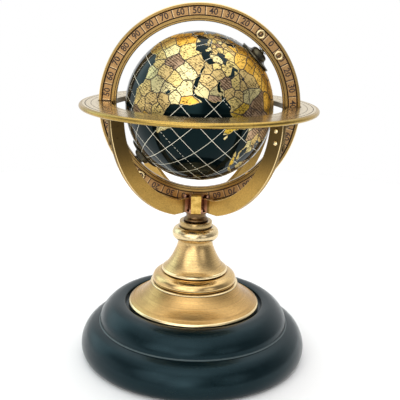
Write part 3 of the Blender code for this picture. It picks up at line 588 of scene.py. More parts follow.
class Nodes:
    """Short ways to add nodes to a tree."""

    def __init__(self, tree):
        self.tree = tree

    def feed(self, node, inputs):
        """Sets or links a node's inputs."""
        for key, value in inputs.items():
            socket = node.inputs[key]
            if isinstance(value, bpy.types.NodeSocket):
                self.tree.links.new(value, socket)
            else:
                socket.default_value = value

    def add(self, kind, inputs=None, **settings):
        node = self.tree.nodes.new(kind)
        for key, value in settings.items():
            setattr(node, key, value)
        self.feed(node, inputs or {})
        return node

    def maths(self, operation, a, b=0.0, clamp=False):
        node = self.add("ShaderNodeMath", {0: a, 1: b}, operation=operation, use_clamp=clamp)
        return node.outputs[0]

    def vector(self, operation, a, b=(0.0, 0.0, 0.0), output="Vector"):
        node = self.add("ShaderNodeVectorMath", {0: a, 1: b}, operation=operation)
        return node.outputs[output]

    def span(self, value, low, high, to_low=0.0, to_high=1.0):
        """Value mapped from low..high to to_low..to_high, and held there outside."""
        node = self.add("ShaderNodeMapRange", {"Value": value, "From Min": low, "From Max": high,
                                               "To Min": to_low, "To Max": to_high},
                        interpolation_type="SMOOTHSTEP")
        return node.outputs["Result"]

    def mix(self, factor, a, b):
        """Colour a where the factor is 0 and b where it is 1."""
        a, b = (v if isinstance(v, bpy.types.NodeSocket) else (*v, 1.0) for v in (a, b))
        return self.add("ShaderNodeMix", {0: factor, 6: a, 7: b}, data_type="RGBA").outputs[2]


class Look(Nodes):
    """One material's nodes, around its Principled shader."""

    def __init__(self, name, **constants):
        self.mat = bpy.data.materials.new(name)
        self.mat.use_nodes = True
        super().__init__(self.mat.node_tree)
        self.shader = self.tree.nodes["Principled BSDF"]
        self.feed(self.shader, {k.replace("_", " ").title().replace("Ior", "IOR"): v
                                for k, v in constants.items()})
        self.place = self.add("ShaderNodeTexCoord").outputs["Object"]
        self.height = self.add("ShaderNodeSeparateXYZ", {0: self.place}).outputs[2]

    def noise(self, size, detail=4.0, stretch=None):
        """Noise between 0 and 1 with features of a size, denser along X, Y and Z by stretch."""
        place = self.vector("MULTIPLY", self.place, stretch) if stretch else self.place
        node = self.add("ShaderNodeTexNoise", {"Vector": place, "Scale": 1.0 / (size * MM),
                                               "Detail": detail, "Roughness": 0.6})
        return node.outputs["Fac"]

    def varied(self, size, low, high, detail=4.0):
        """A value that wanders between low and high."""
        return self.span(self.noise(size, detail), 0.3, 0.7, low, high)

    def lines(self, distance, pitch):
        """Fine parallel lines along equal values of a distance in metres."""
        node = self.add("ShaderNodeTexNoise", {"W": distance, "Scale": 1.0 / (pitch * MM),
                                               "Detail": 3.0, "Roughness": 0.7},
                        noise_dimensions="1D")
        return node.outputs["Fac"]

    def from_point(self, point):
        """Distance from a point, in metres."""
        return self.vector("LENGTH", self.vector("SUBTRACT", self.place, point), output="Value")

    def from_axis(self, point, across):
        """Distance from an axis through a point; across is 0 along the axis and 1 off it."""
        away = self.vector("MULTIPLY", self.vector("SUBTRACT", self.place, point), across)
        return self.vector("LENGTH", away, output="Value")

    def grimed(self, colour, reach, clear=0.92, most=0.85):
        """A colour darkened to umber where ambient occlusion finds grooves, corners and gaps between
        parts of a size: painted shade.
        """
        node = self.add("ShaderNodeAmbientOcclusion", {"Distance": reach * MM}, samples=8)
        return self.mix(self.span(node.outputs["AO"], 0.35, clear, most, 0.0), colour, UMBER)

    def bump(self, height, depth, strength=0.6):
        node = self.add("ShaderNodeBump", {"Height": height, "Distance": depth * MM,
                                           "Strength": strength})
        self.feed(self.shader, {"Normal": node.outputs["Normal"]})

    def brushed_round(self):
        """Highlights drawn out by lines that run round the vertical axis."""
        tangent = self.add("ShaderNodeTangent", direction_type="RADIAL", axis="Z").outputs[0]
        self.feed(self.shader, {"Anisotropic": 0.55, "Tangent": tangent})

    def finish(self, colour, roughness=None):
        self.feed(self.shader, {"Base Color": colour})
        if roughness is not None:
            self.feed(self.shader, {"Roughness": roughness})
        return self.mat


def patina(look, amount, painted_shade_above):
    """How dark the metal is made: patina in clouds, and painted shade above a height where
    painted_shade_above is given.
    """
    clouds = look.span(look.noise(16.0, 7.0), 0.62 - 0.35 * amount, 0.82)
    darkening = look.maths("MULTIPLY", clouds, amount, True)
    if painted_shade_above is None:
        return darkening
    # Painted shade: darker towards the top, standing in for the horizon ring's shadow.
    low, high, most = painted_shade_above
    above = look.span(look.height, low * MM, high * MM, 0.0, most)
    return look.maths("MAXIMUM", darkening, above, True)


def tool_lines(look, grain, pitch):
    """Fine lines left by turning, or by brushing round the globe's centre."""
    if grain == "turned":
        distance = look.maths("ADD", look.from_axis((0, 0, 0), (1, 1, 0)), look.height)
    elif grain == "meridian":
        distance = look.from_axis(CENTRE, (1, 0, 1))
    else:
        distance = look.from_point(CENTRE)
    return look.lines(distance, pitch)


def copper_root(look, colour, reach):
    """Coppery blotches within reach of the stand's axis, and a dark rim round them painted as the
    shadow beside the hub.
    """
    out = look.from_axis((0, 0, 0), (1, 1, 0))
    near = look.span(out, (reach - 1.0) * MM, reach * MM, 1.0, 0.0)
    blotches = look.mix(look.noise(2.0), (0.52, 0.27, 0.16), (0.22, 0.10, 0.06))
    colour = look.mix(near, colour, blotches)
    # Painted shadow: a dark band just outside the coppery blotches, where the arms meet the hub.
    rim = look.span(out, reach * MM, (reach + 2.5) * MM, 0.8, 0.0)
    return look.mix(look.maths("SUBTRACT", rim, near, True), colour, UMBER)


def brass(name, light=GOLD, dark=BROWN, amount=0.5, rough=0.24, grain=None, pitch=0.22,
          reach=2.5, line_depth=0.03, line_tone=0.25, brushed=False, painted_shade_above=None, coat=0.0,
          root=None):
    """Aged brass: patina in clouds and painted shade in hollows over lighter metal, with tool or
    brush lines.
    """
    look = Look(name, metallic=1.0, coat_weight=coat, coat_roughness=0.08)
    darkening = patina(look, amount, painted_shade_above)
    specks = look.noise(0.9, 5.0)
    colour = look.mix(darkening, light, dark)
    colour = look.mix(look.span(specks, 0.30, 0.75, 0.0, 0.35), colour, dark)
    height = specks
    roughness = look.span(darkening, 0.0, 1.0, rough, rough + 0.14)
    if grain:
        lines = tool_lines(look, grain, pitch)
        colour = look.mix(look.span(lines, 0.3, 0.7, 0.0, line_tone), colour, dark)
        height = look.maths("ADD", lines, look.maths("MULTIPLY", specks, 0.25))
        roughness = look.maths("ADD", roughness, look.span(lines, 0.3, 0.7, -0.04, 0.05))
    if root:
        colour = copper_root(look, colour, root)
    if brushed:
        look.brushed_round()
    look.bump(height, line_depth)
    # The colour is darkened by ambient occlusion in hollows and between parts: painted shade.
    return look.finish(look.grimed(colour, reach), roughness)


def hub_brass(name):
    """Faceted block, coloured by which way each facet faces: the facets towards the front and back
    painted bright gold as lit, the others coppery and darker as shaded.
    """
    look = Look(name, metallic=1.0)
    normal = look.add("ShaderNodeNewGeometry").outputs["Normal"]
    across = look.maths("ABSOLUTE", look.add("ShaderNodeSeparateXYZ", {0: normal}).outputs[0])
    blotch = look.noise(2.2, 6.0)
    gold = look.mix(look.span(blotch, 0.35, 0.70), (0.74, 0.48, 0.13), (0.46, 0.27, 0.055))
    copper = look.mix(look.span(blotch, 0.35, 0.65), (0.50, 0.26, 0.16), (0.16, 0.08, 0.055))
    # Colour chosen by facet direction: painted light on the front and back facets, painted shade on
    # the others.
    colour = look.mix(look.span(across, 0.15, 0.50), gold, copper)
    look.bump(look.noise(0.8, 6.0), 0.04)
    return look.finish(look.grimed(colour, 2.0, 0.95, 0.80),
                       look.span(blotch, 0.3, 0.7, 0.22, 0.34))


def bronze(name):
    """Blackened bronze with brass showing through where it is rubbed."""
    look = Look(name, metallic=1.0)
    rubbed = look.span(look.noise(6.0, 2.0), 0.40, 0.65, 0.0, 0.8)
    colour = look.mix(rubbed, (0.050, 0.046, 0.036), (0.120, 0.105, 0.062))
    return look.finish(colour, look.varied(2.0, 0.26, 0.40))


def steel(name):
    """Zinc-plated steel, slightly mottled."""
    look = Look(name, metallic=1.0)
    colour = look.mix(look.noise(3.0), (0.50, 0.50, 0.48), (0.32, 0.32, 0.31))
    return look.finish(colour, look.varied(1.0, 0.30, 0.45))


def painted_wood(name):
    """Turned wood under dark blue-green satin paint, with the grain just telegraphing through."""
    look = Look(name, specular_ior_level=0.30, specular_tint=PAINT_TINT)
    grain = look.noise(1.4, 6.0, (0.10, 1.0, 1.0))
    colour = look.mix(look.span(look.noise(22.0), 0.3, 0.7),
                      (0.0016, 0.0052, 0.0068), (0.0028, 0.0085, 0.0105))
    colour = look.mix(look.span(grain, 0.45, 0.75, 0.0, 0.30), colour, (0.0065, 0.0150, 0.0180))
    look.bump(grain, 0.02, 0.35)
    return look.finish(colour, look.varied(6.0, 0.20, 0.27, 5.0))


def felt(name):
    """Dark green felt with a raised fuzz."""
    look = Look(name, roughness=0.95, sheen_weight=0.5, sheen_roughness=0.5)
    fuzz = look.noise(0.5, 6.0)
    look.bump(fuzz, 0.2)
    return look.finish(look.mix(fuzz, (0.010, 0.030, 0.020), (0.030, 0.070, 0.050)))


def lacquer(name, specular=0.145):
    """Glossy black ball, a breath of blue-green in it."""
    look = Look(name, specular_ior_level=specular, specular_tint=LACQUER_TINT)
    colour = look.mix(look.noise(30.0, 3.0), (0.0008, 0.0016, 0.0018), (0.0015, 0.0050, 0.0056))
    return look.finish(colour, look.varied(4.0, 0.07, 0.12, 5.0))


def foil(key, tint, rough):
    """Gold map print: a tint, each country's own shade, printed specks, strokes on some tints."""
    look = Look("foil_" + key, metallic=0.95, specular_tint=FOIL_TINT)
    shade = look.add("ShaderNodeAttribute", attribute_name="shade").outputs["Fac"]
    pale = tuple(min(1.0, c * 1.06 + 0.03) for c in tint)
    deep = tuple(c * 0.80 for c in tint)
    colour = look.mix(look.span(shade, 0.25, 0.75), deep, pale)
    marks = look.span(look.noise(0.85, 2.0, (0.6, 1.0, 1.6)), 0.52, 0.60, 0.0, 0.95)
    patches = look.span(look.noise(6.0, 2.0), 0.36, 0.48)
    colour = look.mix(look.maths("MULTIPLY", marks, patches), colour, (0.020, 0.010, 0.005))
    if key in STROKE_DEPTH:
        slant = look.vector("DOT_PRODUCT", look.place, STROKE_WAVES, "Value")
        strokes = look.span(look.maths("SINE", slant), -0.1, 0.7, 0.0, STROKE_DEPTH[key])
        colour = look.mix(look.maths("MULTIPLY", strokes, patches), colour, (0.050, 0.026, 0.014))
    return look.finish(colour, look.varied(3.0, rough - 0.04, rough + 0.06))


def ink(name, colour, roughness=0.45, metallic=0.0):
    """Thin ink, paint or patina that lets a little of the ground through."""
    look = Look(name, metallic=metallic)
    thin = tuple(min(1.0, c * 1.5 + 0.01) for c in colour)
    return look.finish(look.mix(look.noise(0.7, 3.0), colour, thin),
                       look.varied(0.5, roughness - 0.05, roughness + 0.08))


LACQUER = lacquer("black_lacquer")
LAKE_INK = lacquer("lake_black", 0.35)
FOILS = [foil(key, tint, rough) for key, (tint, rough) in TINTS.items()]
DARK_INK = ink("border_ink", (0.014, 0.007, 0.004), 0.6)
PALE_INK = ink("graticule_ink", (0.90, 0.82, 0.58), 0.35, 0.3)
COAST_INK = ink("coast_ink", (0.50, 0.38, 0.16), 0.35, 0.6)
NUMBER_INK_AND_BORE_SHADE = ink("number_ink_and_bore_shade", (0.030, 0.013, 0.007), 0.55)
TURNED = brass("turned_brass", PALE_GOLD, BROWN, 0.35, 0.24, "turned", 0.30, reach=3.5,
               brushed=True)
BEAD = brass("bead_brass", (0.95, 0.76, 0.44), BROWN, 0.20, 0.18, "turned", 0.30, reach=3.0,
             line_tone=0.15)
# Its wide hollow reach darkens the disc's top under the neck: painted shade.
STEP = brass("step_brass", (0.60, 0.43, 0.19), BROWN, 0.40, 0.20, "turned", 0.30, reach=5.0)
TORUS = brass("torus_brass", PALE_GOLD, BROWN, 0.25, 0.15, "turned", 0.30, reach=3.5,
              line_tone=0.20, brushed=True)
# Pale lines on the rims of the plate, torus and bell: burnish, and a painted highlight where the
# turned lips catch the light.
BURNISH_AND_HIGHLIGHT = brass("burnish_and_highlight_rim", (0.98, 0.80, 0.48), GOLD, 0.15, 0.20, reach=0.5)
PLATE = brass("plate_brass", (0.68, 0.43, 0.16), BROWN, 0.45, 0.28, "turned", 0.25, reach=4.0,
              brushed=True)
HORIZON = brass("horizon_brass", (0.74, 0.59, 0.30), BROWN, 0.25, 0.25, "turned", 0.35, reach=1.5,
                line_depth=0.008, line_tone=0.12, coat=0.3)
HORIZON_RIM = brass("horizon_rim_brass", (0.56, 0.37, 0.09), UMBER, 0.40, 0.22, "turned", 0.30,
                    reach=2.0)
MERIDIAN = brass("meridian_brass", (0.36, 0.235, 0.078), BROWN, 0.60, 0.26, "meridian", 0.25,
                 reach=1.5)
BAND = brass("band_brass", (0.47, 0.28, 0.12), BROWN, 0.45, 0.34, "meridian", 0.22, reach=0.8)
# Pale bars beside the dividers: a painted highlight, the lit edge of each divider.
DIVIDER_HIGHLIGHT = brass("painted_divider_highlight", (0.74, 0.51, 0.26), BROWN, 0.2, 0.3, reach=0.4)
GROOVE = ink("groove_patina", (0.030, 0.014, 0.007), 0.5, 0.6)
INNER_WALL = brass("inner_wall_brass", (0.13, 0.10, 0.055), UMBER, 0.5, 0.35)
# The arms are painted darker towards their tops as shade under the horizon ring.
ARM = brass("arm_brass", GOLD, (0.085, 0.055, 0.020), 0.45, 0.30, "arc", 0.20, reach=5.0,
            line_tone=0.30, painted_shade_above=(119.0, 150.0, 0.90), root=12.0)
# Pale edge brass: edge wear, and a painted highlight along the arrises.
EDGE_WEAR_AND_HIGHLIGHT = brass("edge_wear_and_highlight", (0.90, 0.68, 0.34), GOLD, 0.2, 0.18)
HUB = hub_brass("hub_brass")
NECK = brass("neck_brass", (0.26, 0.16, 0.075), UMBER, 0.7, 0.28, "turned", 0.3)
EYELET = brass("eyelet_brass", (0.84, 0.68, 0.38), BROWN, 0.2, 0.16)
BRACKET = brass("bracket_brass", (0.30, 0.20, 0.08), UMBER, 0.6, 0.34)
BRONZE = bronze("pole_bronze")
STEEL = steel("zinc_steel")
WOOD = painted_wood("painted_wood")
# A pale line at the step between the base's tiers: a painted highlight.
STEP_LINE_HIGHLIGHT = ink("painted_step_highlight", (0.040, 0.062, 0.066), 0.35)
FELT = felt("felt")
BOARD = ink("pressed_board", (0.30, 0.23, 0.14), 0.8)


# ---------------------------------------------------------------- the pieces

def make_ball():
    outlines, lakes, seeds = read_outlines(OUTLINES), read_outlines(LAKES), read_seeds(SEEDS)
    shell = arc((0.0, 0.0), GLOBE_R, 90.0, -90.0, 96)
    shell = [(0.0, GLOBE_R)] + shell[1:-1] + [(0.0, -GLOBE_R)]
    turned_piece("globe_ball", shell, 144, "globe", [LACQUER], ("globe_north", "globe_south"),
                 axis_frame(POLE_ANGLE), closed=False)
    make_land(outlines, seeds, FOILS, DARK_INK, COAST_INK)
    make_lakes(lakes, LAKE_INK, DARK_INK)
    make_graticule(outlines, lakes, PALE_INK, DARK_INK)


def make_pole_caps():
    """Flared caps whose rims sit on the ball; heights are from the globe's centre."""
    dome = spline([(2.4, 51.0), (4.2, 50.6), (5.3, 49.8), (5.7, 48.6)])
    flare = spline([(5.7, 48.6), (6.0, 47.95), (7.0, 47.25), (8.8, 46.85), (10.8, 46.6)])
    profile = dome + flare[1:] + [(11.2, 46.4), (11.25, 45.7), (10.6, 45.35), (2.4, 46.6)]
    for tag, deg in ENDS:
        turned_piece("cap_" + tag, profile, 72, "globe", [BRONZE], ("pole_cap_" + tag,),
                     axis_frame(deg))


def meridian_profile(chamfer, inner_line, dip):
    """The ring's section: raised rims, a sunk band with a groove at each side, fine lines."""
    front = [(MERIDIAN_IN, FACE - chamfer), (MERIDIAN_IN + chamfer, FACE),
             (inner_line - dip, FACE), (inner_line, FACE - dip), (inner_line + dip, FACE)]
    wall = [(0.75, FACE), (0.55, FACE - 0.15), (0.25, BAND_FLOOR - 0.25), (0.0, BAND_FLOOR - 0.25),
            (-0.15, BAND_FLOOR)]
    front += [(BAND_IN - out, height) for out, height in wall]
    front += [(BAND_OUT + out, height) for out, height in reversed(wall)]
    front += [(MERIDIAN_OUT - chamfer, FACE), (MERIDIAN_OUT, FACE - chamfer)]
    back = [(MERIDIAN_OUT, -FACE + chamfer), (MERIDIAN_OUT - chamfer, -FACE)]
    for line in (61.2, 54.8):
        back += [(line + dip, -FACE), (line, -FACE + dip), (line - dip, -FACE)]
    return front + back + [(MERIDIAN_IN + chamfer, -FACE), (MERIDIAN_IN, -FACE + chamfer)]


def make_meridian():
    """The graduated ring, its band and grooves darker, its broken edges pale: worn bright, and
    painted as a highlight.
    """
    chamfer, inner_line, dip = 0.4, MERIDIAN_IN + 1.35, 0.2

    def in_groove(r):
        return (BAND_IN - 0.5 < r < BAND_IN + 0.05 or BAND_OUT - 0.05 < r < BAND_OUT + 0.5
                or abs(r - inner_line) < 0.15)

    def on_edge(r, z):
        clear = MERIDIAN_IN + chamfer - 0.1 < r < MERIDIAN_OUT - chamfer + 0.1
        return abs(abs(z) - FACE + chamfer / 2) < 0.1 and not clear

    patches = {1: lambda r, z: z > 0 and BAND_IN + 0.05 < r < BAND_OUT - 0.05,
               2: lambda r, z: z > 0 and in_groove(r),
               3: on_edge}
    lying = Matrix.Translation(CENTRE) @ Matrix.Rotation(math.pi / 2, 4, "X")
    turned_piece("meridian_band", meridian_profile(chamfer, inner_line, dip), 288, "meridian",
                 [MERIDIAN, BAND, GROOVE, EDGE_WEAR_AND_HIGHLIGHT], ("meridian_ring",), lying, patches=patches)


def add_number(target, count, frame_to):
    """A degree number, added to the bmesh target."""
    curve = bpy.data.curves.new("number", "FONT")
    curve.body = str(count)
    curve.size = 5.3 * MM
    curve.align_x = "CENTER"
    curve.align_y = "CENTER"
    curve.offset = 0.10 * MM
    curve.extrude = 0.03 * MM
    curve.resolution_u = 3
    text = shown("number", curve)
    mesh = evaluated_mesh(text)
    mesh.transform(frame_to)
    target.from_mesh(mesh)
    bpy.data.objects.remove(text)


def add_bar(target, left, right, frame_to):
    """A thin bar across the number band, added to the bmesh target."""
    reach = (BAND_OUT - BAND_IN) / 2 - 0.1
    outline = [(left, -reach), (right, -reach), (right, reach), (left, reach)]
    target.from_mesh(mesh_of("bar", flat_plate(outline, 0.06, frame_to)))


def make_degrees():
    """Numbers 0 to 90 and back round the band, tops outwards, with a line between and a pale bar
    beside it painted as a highlight.
    """
    numbers, lines, highlights = bmesh.new(), bmesh.new(), bmesh.new()
    for turn in range(0, 360, 10):
        count = min(turn % 180, 180 - turn % 180)
        add_number(numbers, count, face_frame(POLE_ANGLE + turn, BAND_MID, BAND_FLOOR + 0.03))
        between = face_frame(POLE_ANGLE + turn + 5.0, BAND_MID, BAND_FLOOR)
        add_bar(lines, -0.32, 0.32, between)
        add_bar(highlights, 0.36, 0.80, between)
    add_piece("degree_numbers", numbers, "meridian", [NUMBER_INK_AND_BORE_SHADE], smooth=False)
    add_piece("degree_lines", lines, "meridian", [NUMBER_INK_AND_BORE_SHADE], smooth=False)
    add_piece("degree_highlights", highlights, "meridian", [DIVIDER_HIGHLIGHT], smooth=False)


def make_eyelets():
    """Eyelets with a rolled lip and a bore in front whose floor is painted dark as shade, and their
    clenched ends behind.
    """
    lip = arc((2.15, FACE + 0.35), 0.8, 180.0, 0.0, 10)
    front = [(0.0, FACE - 0.95), (1.2, FACE - 0.9), (1.3, FACE - 0.3)] + lip + [(2.95, FACE - 0.1)]
    back = [(2.4, -FACE - 1.2), (2.4, -FACE - 1.5), (1.9, -FACE - 1.75), (0.0, -FACE - 1.75)]
    for tag, deg in ENDS:
        for number, side in ((1, EYELET_ANGLE), (2, -EYELET_ANGLE)):
            end = "%s_%d" % (tag, number)
            frame_to = face_frame(deg + side, EYELET_R)
            # The bore's floor, r < 1.25, takes the dark ink: painted shade in the hole.
            turned_piece("eyelet_front_" + end, front, 40, "meridian", [EYELET, NUMBER_INK_AND_BORE_SHADE],
                         ("eyelet_" + end,), frame_to, closed=False,
                         patches={1: lambda r, z: r < 1.25})
            turned_piece("eyelet_back_" + end, back, 32, "meridian", [EYELET], (), frame_to,
                         closed=False)


def cut_notch(ring, sign, inner=45.0, height=12.0):
    """Cuts the notch that the meridian ring stands in, at one side of the horizon ring."""
    outer = MERIDIAN_OUT + 0.6
    size = (outer - inner, MERIDIAN_T + 1.0, height)
    cube = bmesh.new()
    bmesh.ops.create_cube(cube, size=1.0)
    bmesh.ops.scale(cube, vec=Vector(size) * MM, verts=cube.verts)
    middle = Vector((sign * (outer + inner) / 2, 0.0, HORIZON_TOP)) * MM
    bmesh.ops.translate(cube, vec=middle, verts=cube.verts)
    cutter = shown("notch", mesh_of("notch", cube))
    mod = ring.modifiers.new("Notch", "BOOLEAN")
    mod.object = cutter
    mod.solver = "EXACT"
    cut = evaluated_mesh(ring)
    ring.modifiers.clear()
    ring.data = cut
    bpy.data.objects.remove(cutter)


def make_horizon():
    """The flat ring with its rounded rim, two notches, engraved circles and ticks."""
    top, low = HORIZON_TOP, HORIZON_TOP - HORIZON_T
    profile = [(HORIZON_IN, top - 0.25), (HORIZON_IN + 0.25, top), (HORIZON_OUT - 2.2, top),
               (HORIZON_OUT - 1.95, top - 0.22), (HORIZON_OUT - 1.7, top - 0.22)]
    profile += arc((HORIZON_OUT - 1.5, top - 1.55), 1.5, 78.0, -90.0, 14)
    profile += [(HORIZON_IN + 0.3, low), (HORIZON_IN, low + 0.3)]
    patches = {1: lambda r, z: r > HORIZON_OUT - 2.1, 2: lambda r, z: r < HORIZON_IN + 0.2}
    ring = turned_piece("horizon_band", profile, 288, "stand", [HORIZON, HORIZON_RIM, INNER_WALL],
                        ("horizon_ring",), patches=patches, crisp=30.0)
    for sign in (1.0, -1.0):
        cut_notch(ring, sign)
    marks = bmesh.new()
    for radius, width in ((56.6, 0.35), (61.8, 0.28), (67.4, 0.28), (71.0, 0.45)):
        circle_mark(marks, radius, width)
    for deg in range(0, 360, 5):
        tick_mark(marks, deg, 62.2, 67.1 if deg % 30 == 0 else 64.2, 0.36)
    add_piece("horizon_marks", marks, "stand", [GROOVE], smooth=False)


def notch_free(radius, deg):
    """Whether a place on the horizon ring is clear of the two notches."""
    across = abs(polar(radius, deg)[1])
    return radius > MERIDIAN_OUT + 0.8 or across > MERIDIAN_T / 2 + 0.7


def circle_mark(bm, radius, width, step=1.5):
    for k in range(round(360 / step)):
        a, b = step * k, step * (k + 1)
        if notch_free(radius, a) and notch_free(radius, b):
            quad_mark(bm, radius - width / 2, radius + width / 2, a, b)


def tick_mark(bm, deg, r_in, r_out, width):
    if notch_free(r_in, deg):
        half = math.degrees(width / 2 / r_in)
        quad_mark(bm, r_in, r_out, deg - half, deg + half)


def quad_mark(bm, r_in, r_out, start, end):
    """A flat mark on the horizon ring's top."""
    corners = (polar(r_in, start), polar(r_out, start), polar(r_out, end), polar(r_in, end))
    bm.faces.new([bm.verts.new((x * MM, y * MM, (HORIZON_TOP + 0.02) * MM)) for x, y in corners])


def make_arms():
    """Four flat curved arms on edge; heights in the outline are from the globe's centre."""
    height = CENTRE.z / MM
    top = HORIZON_TOP - HORIZON_T - 0.3 - height
    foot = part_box("hub")[0][2] / MM + 1.5 - height
    start = math.degrees(math.asin(top / ARM_OUT))
    outline = arc((0.0, 0.0), ARM_OUT, start, math.degrees(math.asin(foot / ARM_OUT)), 48)
    outline += spline([(13.0, foot), (10.6, foot + 0.3), (8.9, foot + 1.6), (8.2, foot + 3.8)])
    outline += [(6.8, foot + 4.4), (6.8, -58.3), (9.0, -58.1)]
    outline += arc((0.0, 0.0), ARM_IN, math.degrees(-math.acos(17.2 / ARM_IN)),
                   math.degrees(math.asin(top / ARM_IN)), 48)
    for i, name in enumerate(("rear_right", "rear_left", "front_left", "front_right")):
        turn = Matrix.Rotation(math.radians(45.0 + 90.0 * i), 4, "Z")
        upright = turn @ Matrix.Translation(CENTRE) @ Matrix.Rotation(math.pi / 2, 4, "X")
        arm = add_piece("arm_plate_" + name, flat_plate(outline, ARM_T, upright), "stand",
                        [ARM, EDGE_WEAR_AND_HIGHLIGHT])
        # The bevels take the pale edge brass: wear and a painted highlight line.
        soften(arm, 0.45, 50.0, 1)
        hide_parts("arm_" + name)


def moulding(name, section, low, high, segs, materials, node, bright=None):
    """A turned piece of the stand: its outer section, closed by flat ends and the bore."""
    patches = {1: bright} if bright else None
    turned_piece(name, section + [(BORE, low), (BORE, high)], segs, "stand", materials, (node,),
                 patches=patches)


def make_foot_plate():
    cone = spline([(28.6, 48.9), (31.6, 45.2), (35.6, 41.5), (40.0, 38.6)])
    rim = [(40.4, 38.7), (40.8, 38.3), (42.6, 37.2), (43.4, 36.5), (43.6, 35.9), (43.6, 35.1),
           (43.2, 33.8)]
    moulding("foot_cone", [(28.4, 49.2)] + cone + rim, 33.8, 49.2, 192, [PLATE, BURNISH_AND_HIGHLIGHT],
             "foot_plate", lambda r, z: 42.9 < r < 43.7 and z > 35.0)


def make_torus():
    swell = spline([(22.4, 57.6), (24.6, 56.9), (26.6, 55.5), (27.7, 53.4), (27.7, 51.9),
                    (27.1, 50.7)])
    flange = [(27.5, 50.55), (28.6, 50.45), (28.9, 50.2), (28.9, 49.7), (28.6, 49.5)]
    moulding("torus_moulding", [(20.9, 57.9)] + swell + flange, 49.5, 57.9, 160,
             [TORUS, BURNISH_AND_HIGHLIGHT], "foot_torus", lambda r, z: r > 28.0 and 49.6 < z)


def make_bell():
    bell = spline([(11.3, 79.4), (11.5, 77.2), (12.2, 74.4), (13.4, 71.4), (14.9, 68.2),
                   (16.6, 65.2), (18.7, 62.3), (20.9, 60.2)])
    lip = [(21.5, 59.8), (21.7, 59.2), (21.6, 58.5), (21.2, 58.2)]
    moulding("bell_moulding", bell + lip, 58.2, 79.4, 144, [TURNED, BURNISH_AND_HIGHLIGHT], "bell_column",
             lambda r, z: r > 21.1 and 58.3 < z)


def make_bead():
    bead = arc((10.9, 83.8), 4.4, 84.0, -84.0, 20)
    moulding("bead_moulding", [(10.6, 88.2)] + bead + [(10.6, 79.7)], 79.7, 88.2, 128, [BEAD],
             "collar_bead")


def make_step():
    step = [(8.6, 92.3), (10.2, 92.3), (10.6, 92.0), (10.75, 91.4), (10.75, 89.3), (10.4, 88.9),
            (10.4, 88.5)]
    moulding("step_disc", step, 88.5, 92.3, 96, [STEP], "collar_step")


def make_neck():
    waist = spline([(6.6, 97.0), (6.4, 95.8), (6.7, 94.7), (7.5, 94.0)])
    flange = [(7.9, 93.5), (8.0, 93.0), (7.8, 92.6)]
    moulding("neck_collar", [(6.6, 97.7)] + waist + flange, 92.6, 97.7, 96, [NECK], "neck_spacer")


def make_base():
    """The two-tier wooden base, with a recess for the foot plate and one for the nut."""
    crest = spline([(45.7, 35.5), (46.2, 36.2), (48.2, 36.6), (51.2, 36.5), (55.2, 34.9),
                    (59.3, 31.2), (61.8, 27.2), (62.6, 23.6)])
    tier = spline([(63.1, 22.9), (64.6, 22.6), (68.4, 20.9), (71.8, 17.6), (74.1, 13.0),
                   (75.0, 8.6), (74.6, 4.6), (73.0, 1.8), (70.8, 0.6)])
    under = [(60.4, 0.6), (60.4, 1.5), (9.0, 1.5), (9.0, 9.0)]
    # The pale patch at the step between the tiers is a painted highlight line.
    moulding("base_moulding", [(45.7, 33.5)] + crest + [(62.7, 23.1)] + tier + under, 9.0, 33.5,
             224, [WOOD, STEP_LINE_HIGHLIGHT], "wooden_base", lambda r, z: 62.65 < r < 63.3 and z > 22.5)


def dress_cad():
    """Materials for the CAD pieces that stay, by how their names begin; a later line wins."""
    looks = {"rivet_": ARM, "rivet_front_right": EYELET, "rivet_rear_right": EYELET,
             "bracket_": BRACKET, "ring_screw_": BRACKET, "hub": HUB, "pivot_strap_": BRACKET,
             "pole_pin_": BRONZE, "pole_washer_": BRONZE, "tie_rod": STEEL, "base_": STEEL,
             "axis_tube": STEEL, "felt_pad": FELT, "equator_band": BOARD}
    for name, obj in frame["nodes"].items():
        for prefix, material in looks.items():
            if name.startswith(prefix):
                obj.data.materials.clear()
                obj.data.materials.append(material)
    soften(frame["nodes"]["hub"], 0.35, 30.0)


# ---------------------------------------------------------------- stage, light and camera

FLOOR_R = 550.0
LIGHTS = (  # azimuth, elevation, inner and outer half-angles, level
    (180.0, 10.0, 40.0, 95.0, 0.70),
    (0.0, 90.0, 15.0, 60.0, 1.20),
    (-14.0, 40.0, 10.0, 38.0, 0.95),
    (-9.0, 5.0, 5.0, 18.0, 1.60),
    (-2.0, 21.0, 5.0, 18.0, 0.95),
    (-38.0, 22.0, 8.0, 24.0, 1.40),
    (-118.0, 26.0, 8.0, 22.0, 0.85),
    (44.0, 18.0, 5.0, 18.0, 0.90),
    (-90.0, -8.0, 12.0, 42.0, 0.85),
    (-10.0, -22.0, 15.0, 45.0, 0.34),
)
AMBIENT = 0.26                                  # level everywhere else
COOL_SIDE = (-118.0, 26.0, 10.0, 34.0, 0.9)     # where the light turns cool, and how much
COOL = (0.76, 0.96, 1.0)
WHITE = (1.0, 1.0, 1.0)
LENS = 66.3
CAMERA_AT = (0.0106, -0.4619, 0.2336)           # metres
ASIDE, DOWN, ROLL = 0.018, 0.270, 0.031         # radians


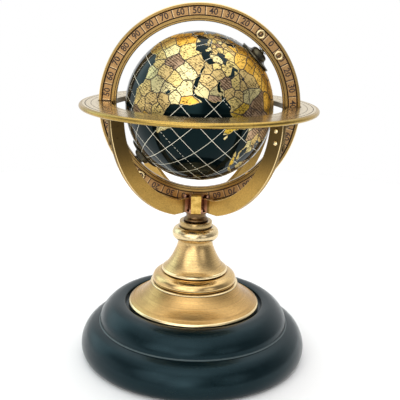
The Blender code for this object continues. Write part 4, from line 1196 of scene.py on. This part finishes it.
def make_floor():
    bm = bmesh.new()
    bmesh.ops.create_circle(bm, cap_ends=True, segments=128, radius=FLOOR_R * MM)
    floor = shown("floor", mesh_of("floor", bm))
    look = Look("floor_white", roughness=0.9, specular_ior_level=0.1)
    white = look.mix(look.noise(400.0), (0.94, 0.94, 0.94), (0.96, 0.96, 0.96))
    floor.data.materials.append(look.finish(white))


def glow(sky, toward, azimuth, elevation, inner, outer, level):
    """A soft round light in the sky: azimuth 0 is behind the camera, 90 to the right."""
    a, e = math.radians(azimuth), math.radians(elevation)
    aim = (math.sin(a) * math.cos(e), -math.cos(a) * math.cos(e), math.sin(e))
    near = sky.vector("DOT_PRODUCT", toward, aim, "Value")
    return sky.span(near, math.cos(math.radians(outer)), math.cos(math.radians(inner)), 0.0, level)


def make_light():
    """A white studio round the object: bright behind, above and at both sides of the camera."""
    world = bpy.data.worlds.new("studio")
    bpy.context.scene.world = world
    world.use_nodes = True
    sky = Nodes(world.node_tree)
    toward = sky.add("ShaderNodeTexCoord").outputs["Generated"]
    level = AMBIENT
    for light in LIGHTS:
        level = sky.maths("ADD", level, glow(sky, toward, *light))
    seen = sky.add("ShaderNodeLightPath").outputs["Is Camera Ray"]
    colour = sky.mix(glow(sky, toward, *COOL_SIDE), WHITE, COOL)
    sky.feed(sky.tree.nodes["Background"],
             {"Strength": sky.maths("MAXIMUM", level, seen), "Color": colour})


def make_camera():
    """In front, a little above the horizon ring, looking down and rolled very slightly."""
    data = bpy.data.cameras.new("camera")
    data.sensor_width = 36.0
    data.lens = LENS
    data.clip_start, data.clip_end = 0.01, 200.0
    camera = shown("camera", data)
    turn = Matrix.Rotation(ASIDE, 4, "Z") @ Matrix.Rotation(math.pi / 2 - DOWN, 4, "X")
    camera.matrix_world = Matrix.Translation(CAMERA_AT) @ turn @ Matrix.Rotation(ROLL, 4, "Z")
    bpy.context.scene.camera = camera


make_ball()
make_pole_caps()
make_meridian()
make_degrees()
make_eyelets()
make_horizon()
make_arms()
make_foot_plate()
make_torus()
make_bell()
make_bead()
make_step()
make_neck()
make_base()
dress_cad()
make_floor()
make_light()
make_camera()
bpy.context.scene.view_settings.view_transform = "Standard"
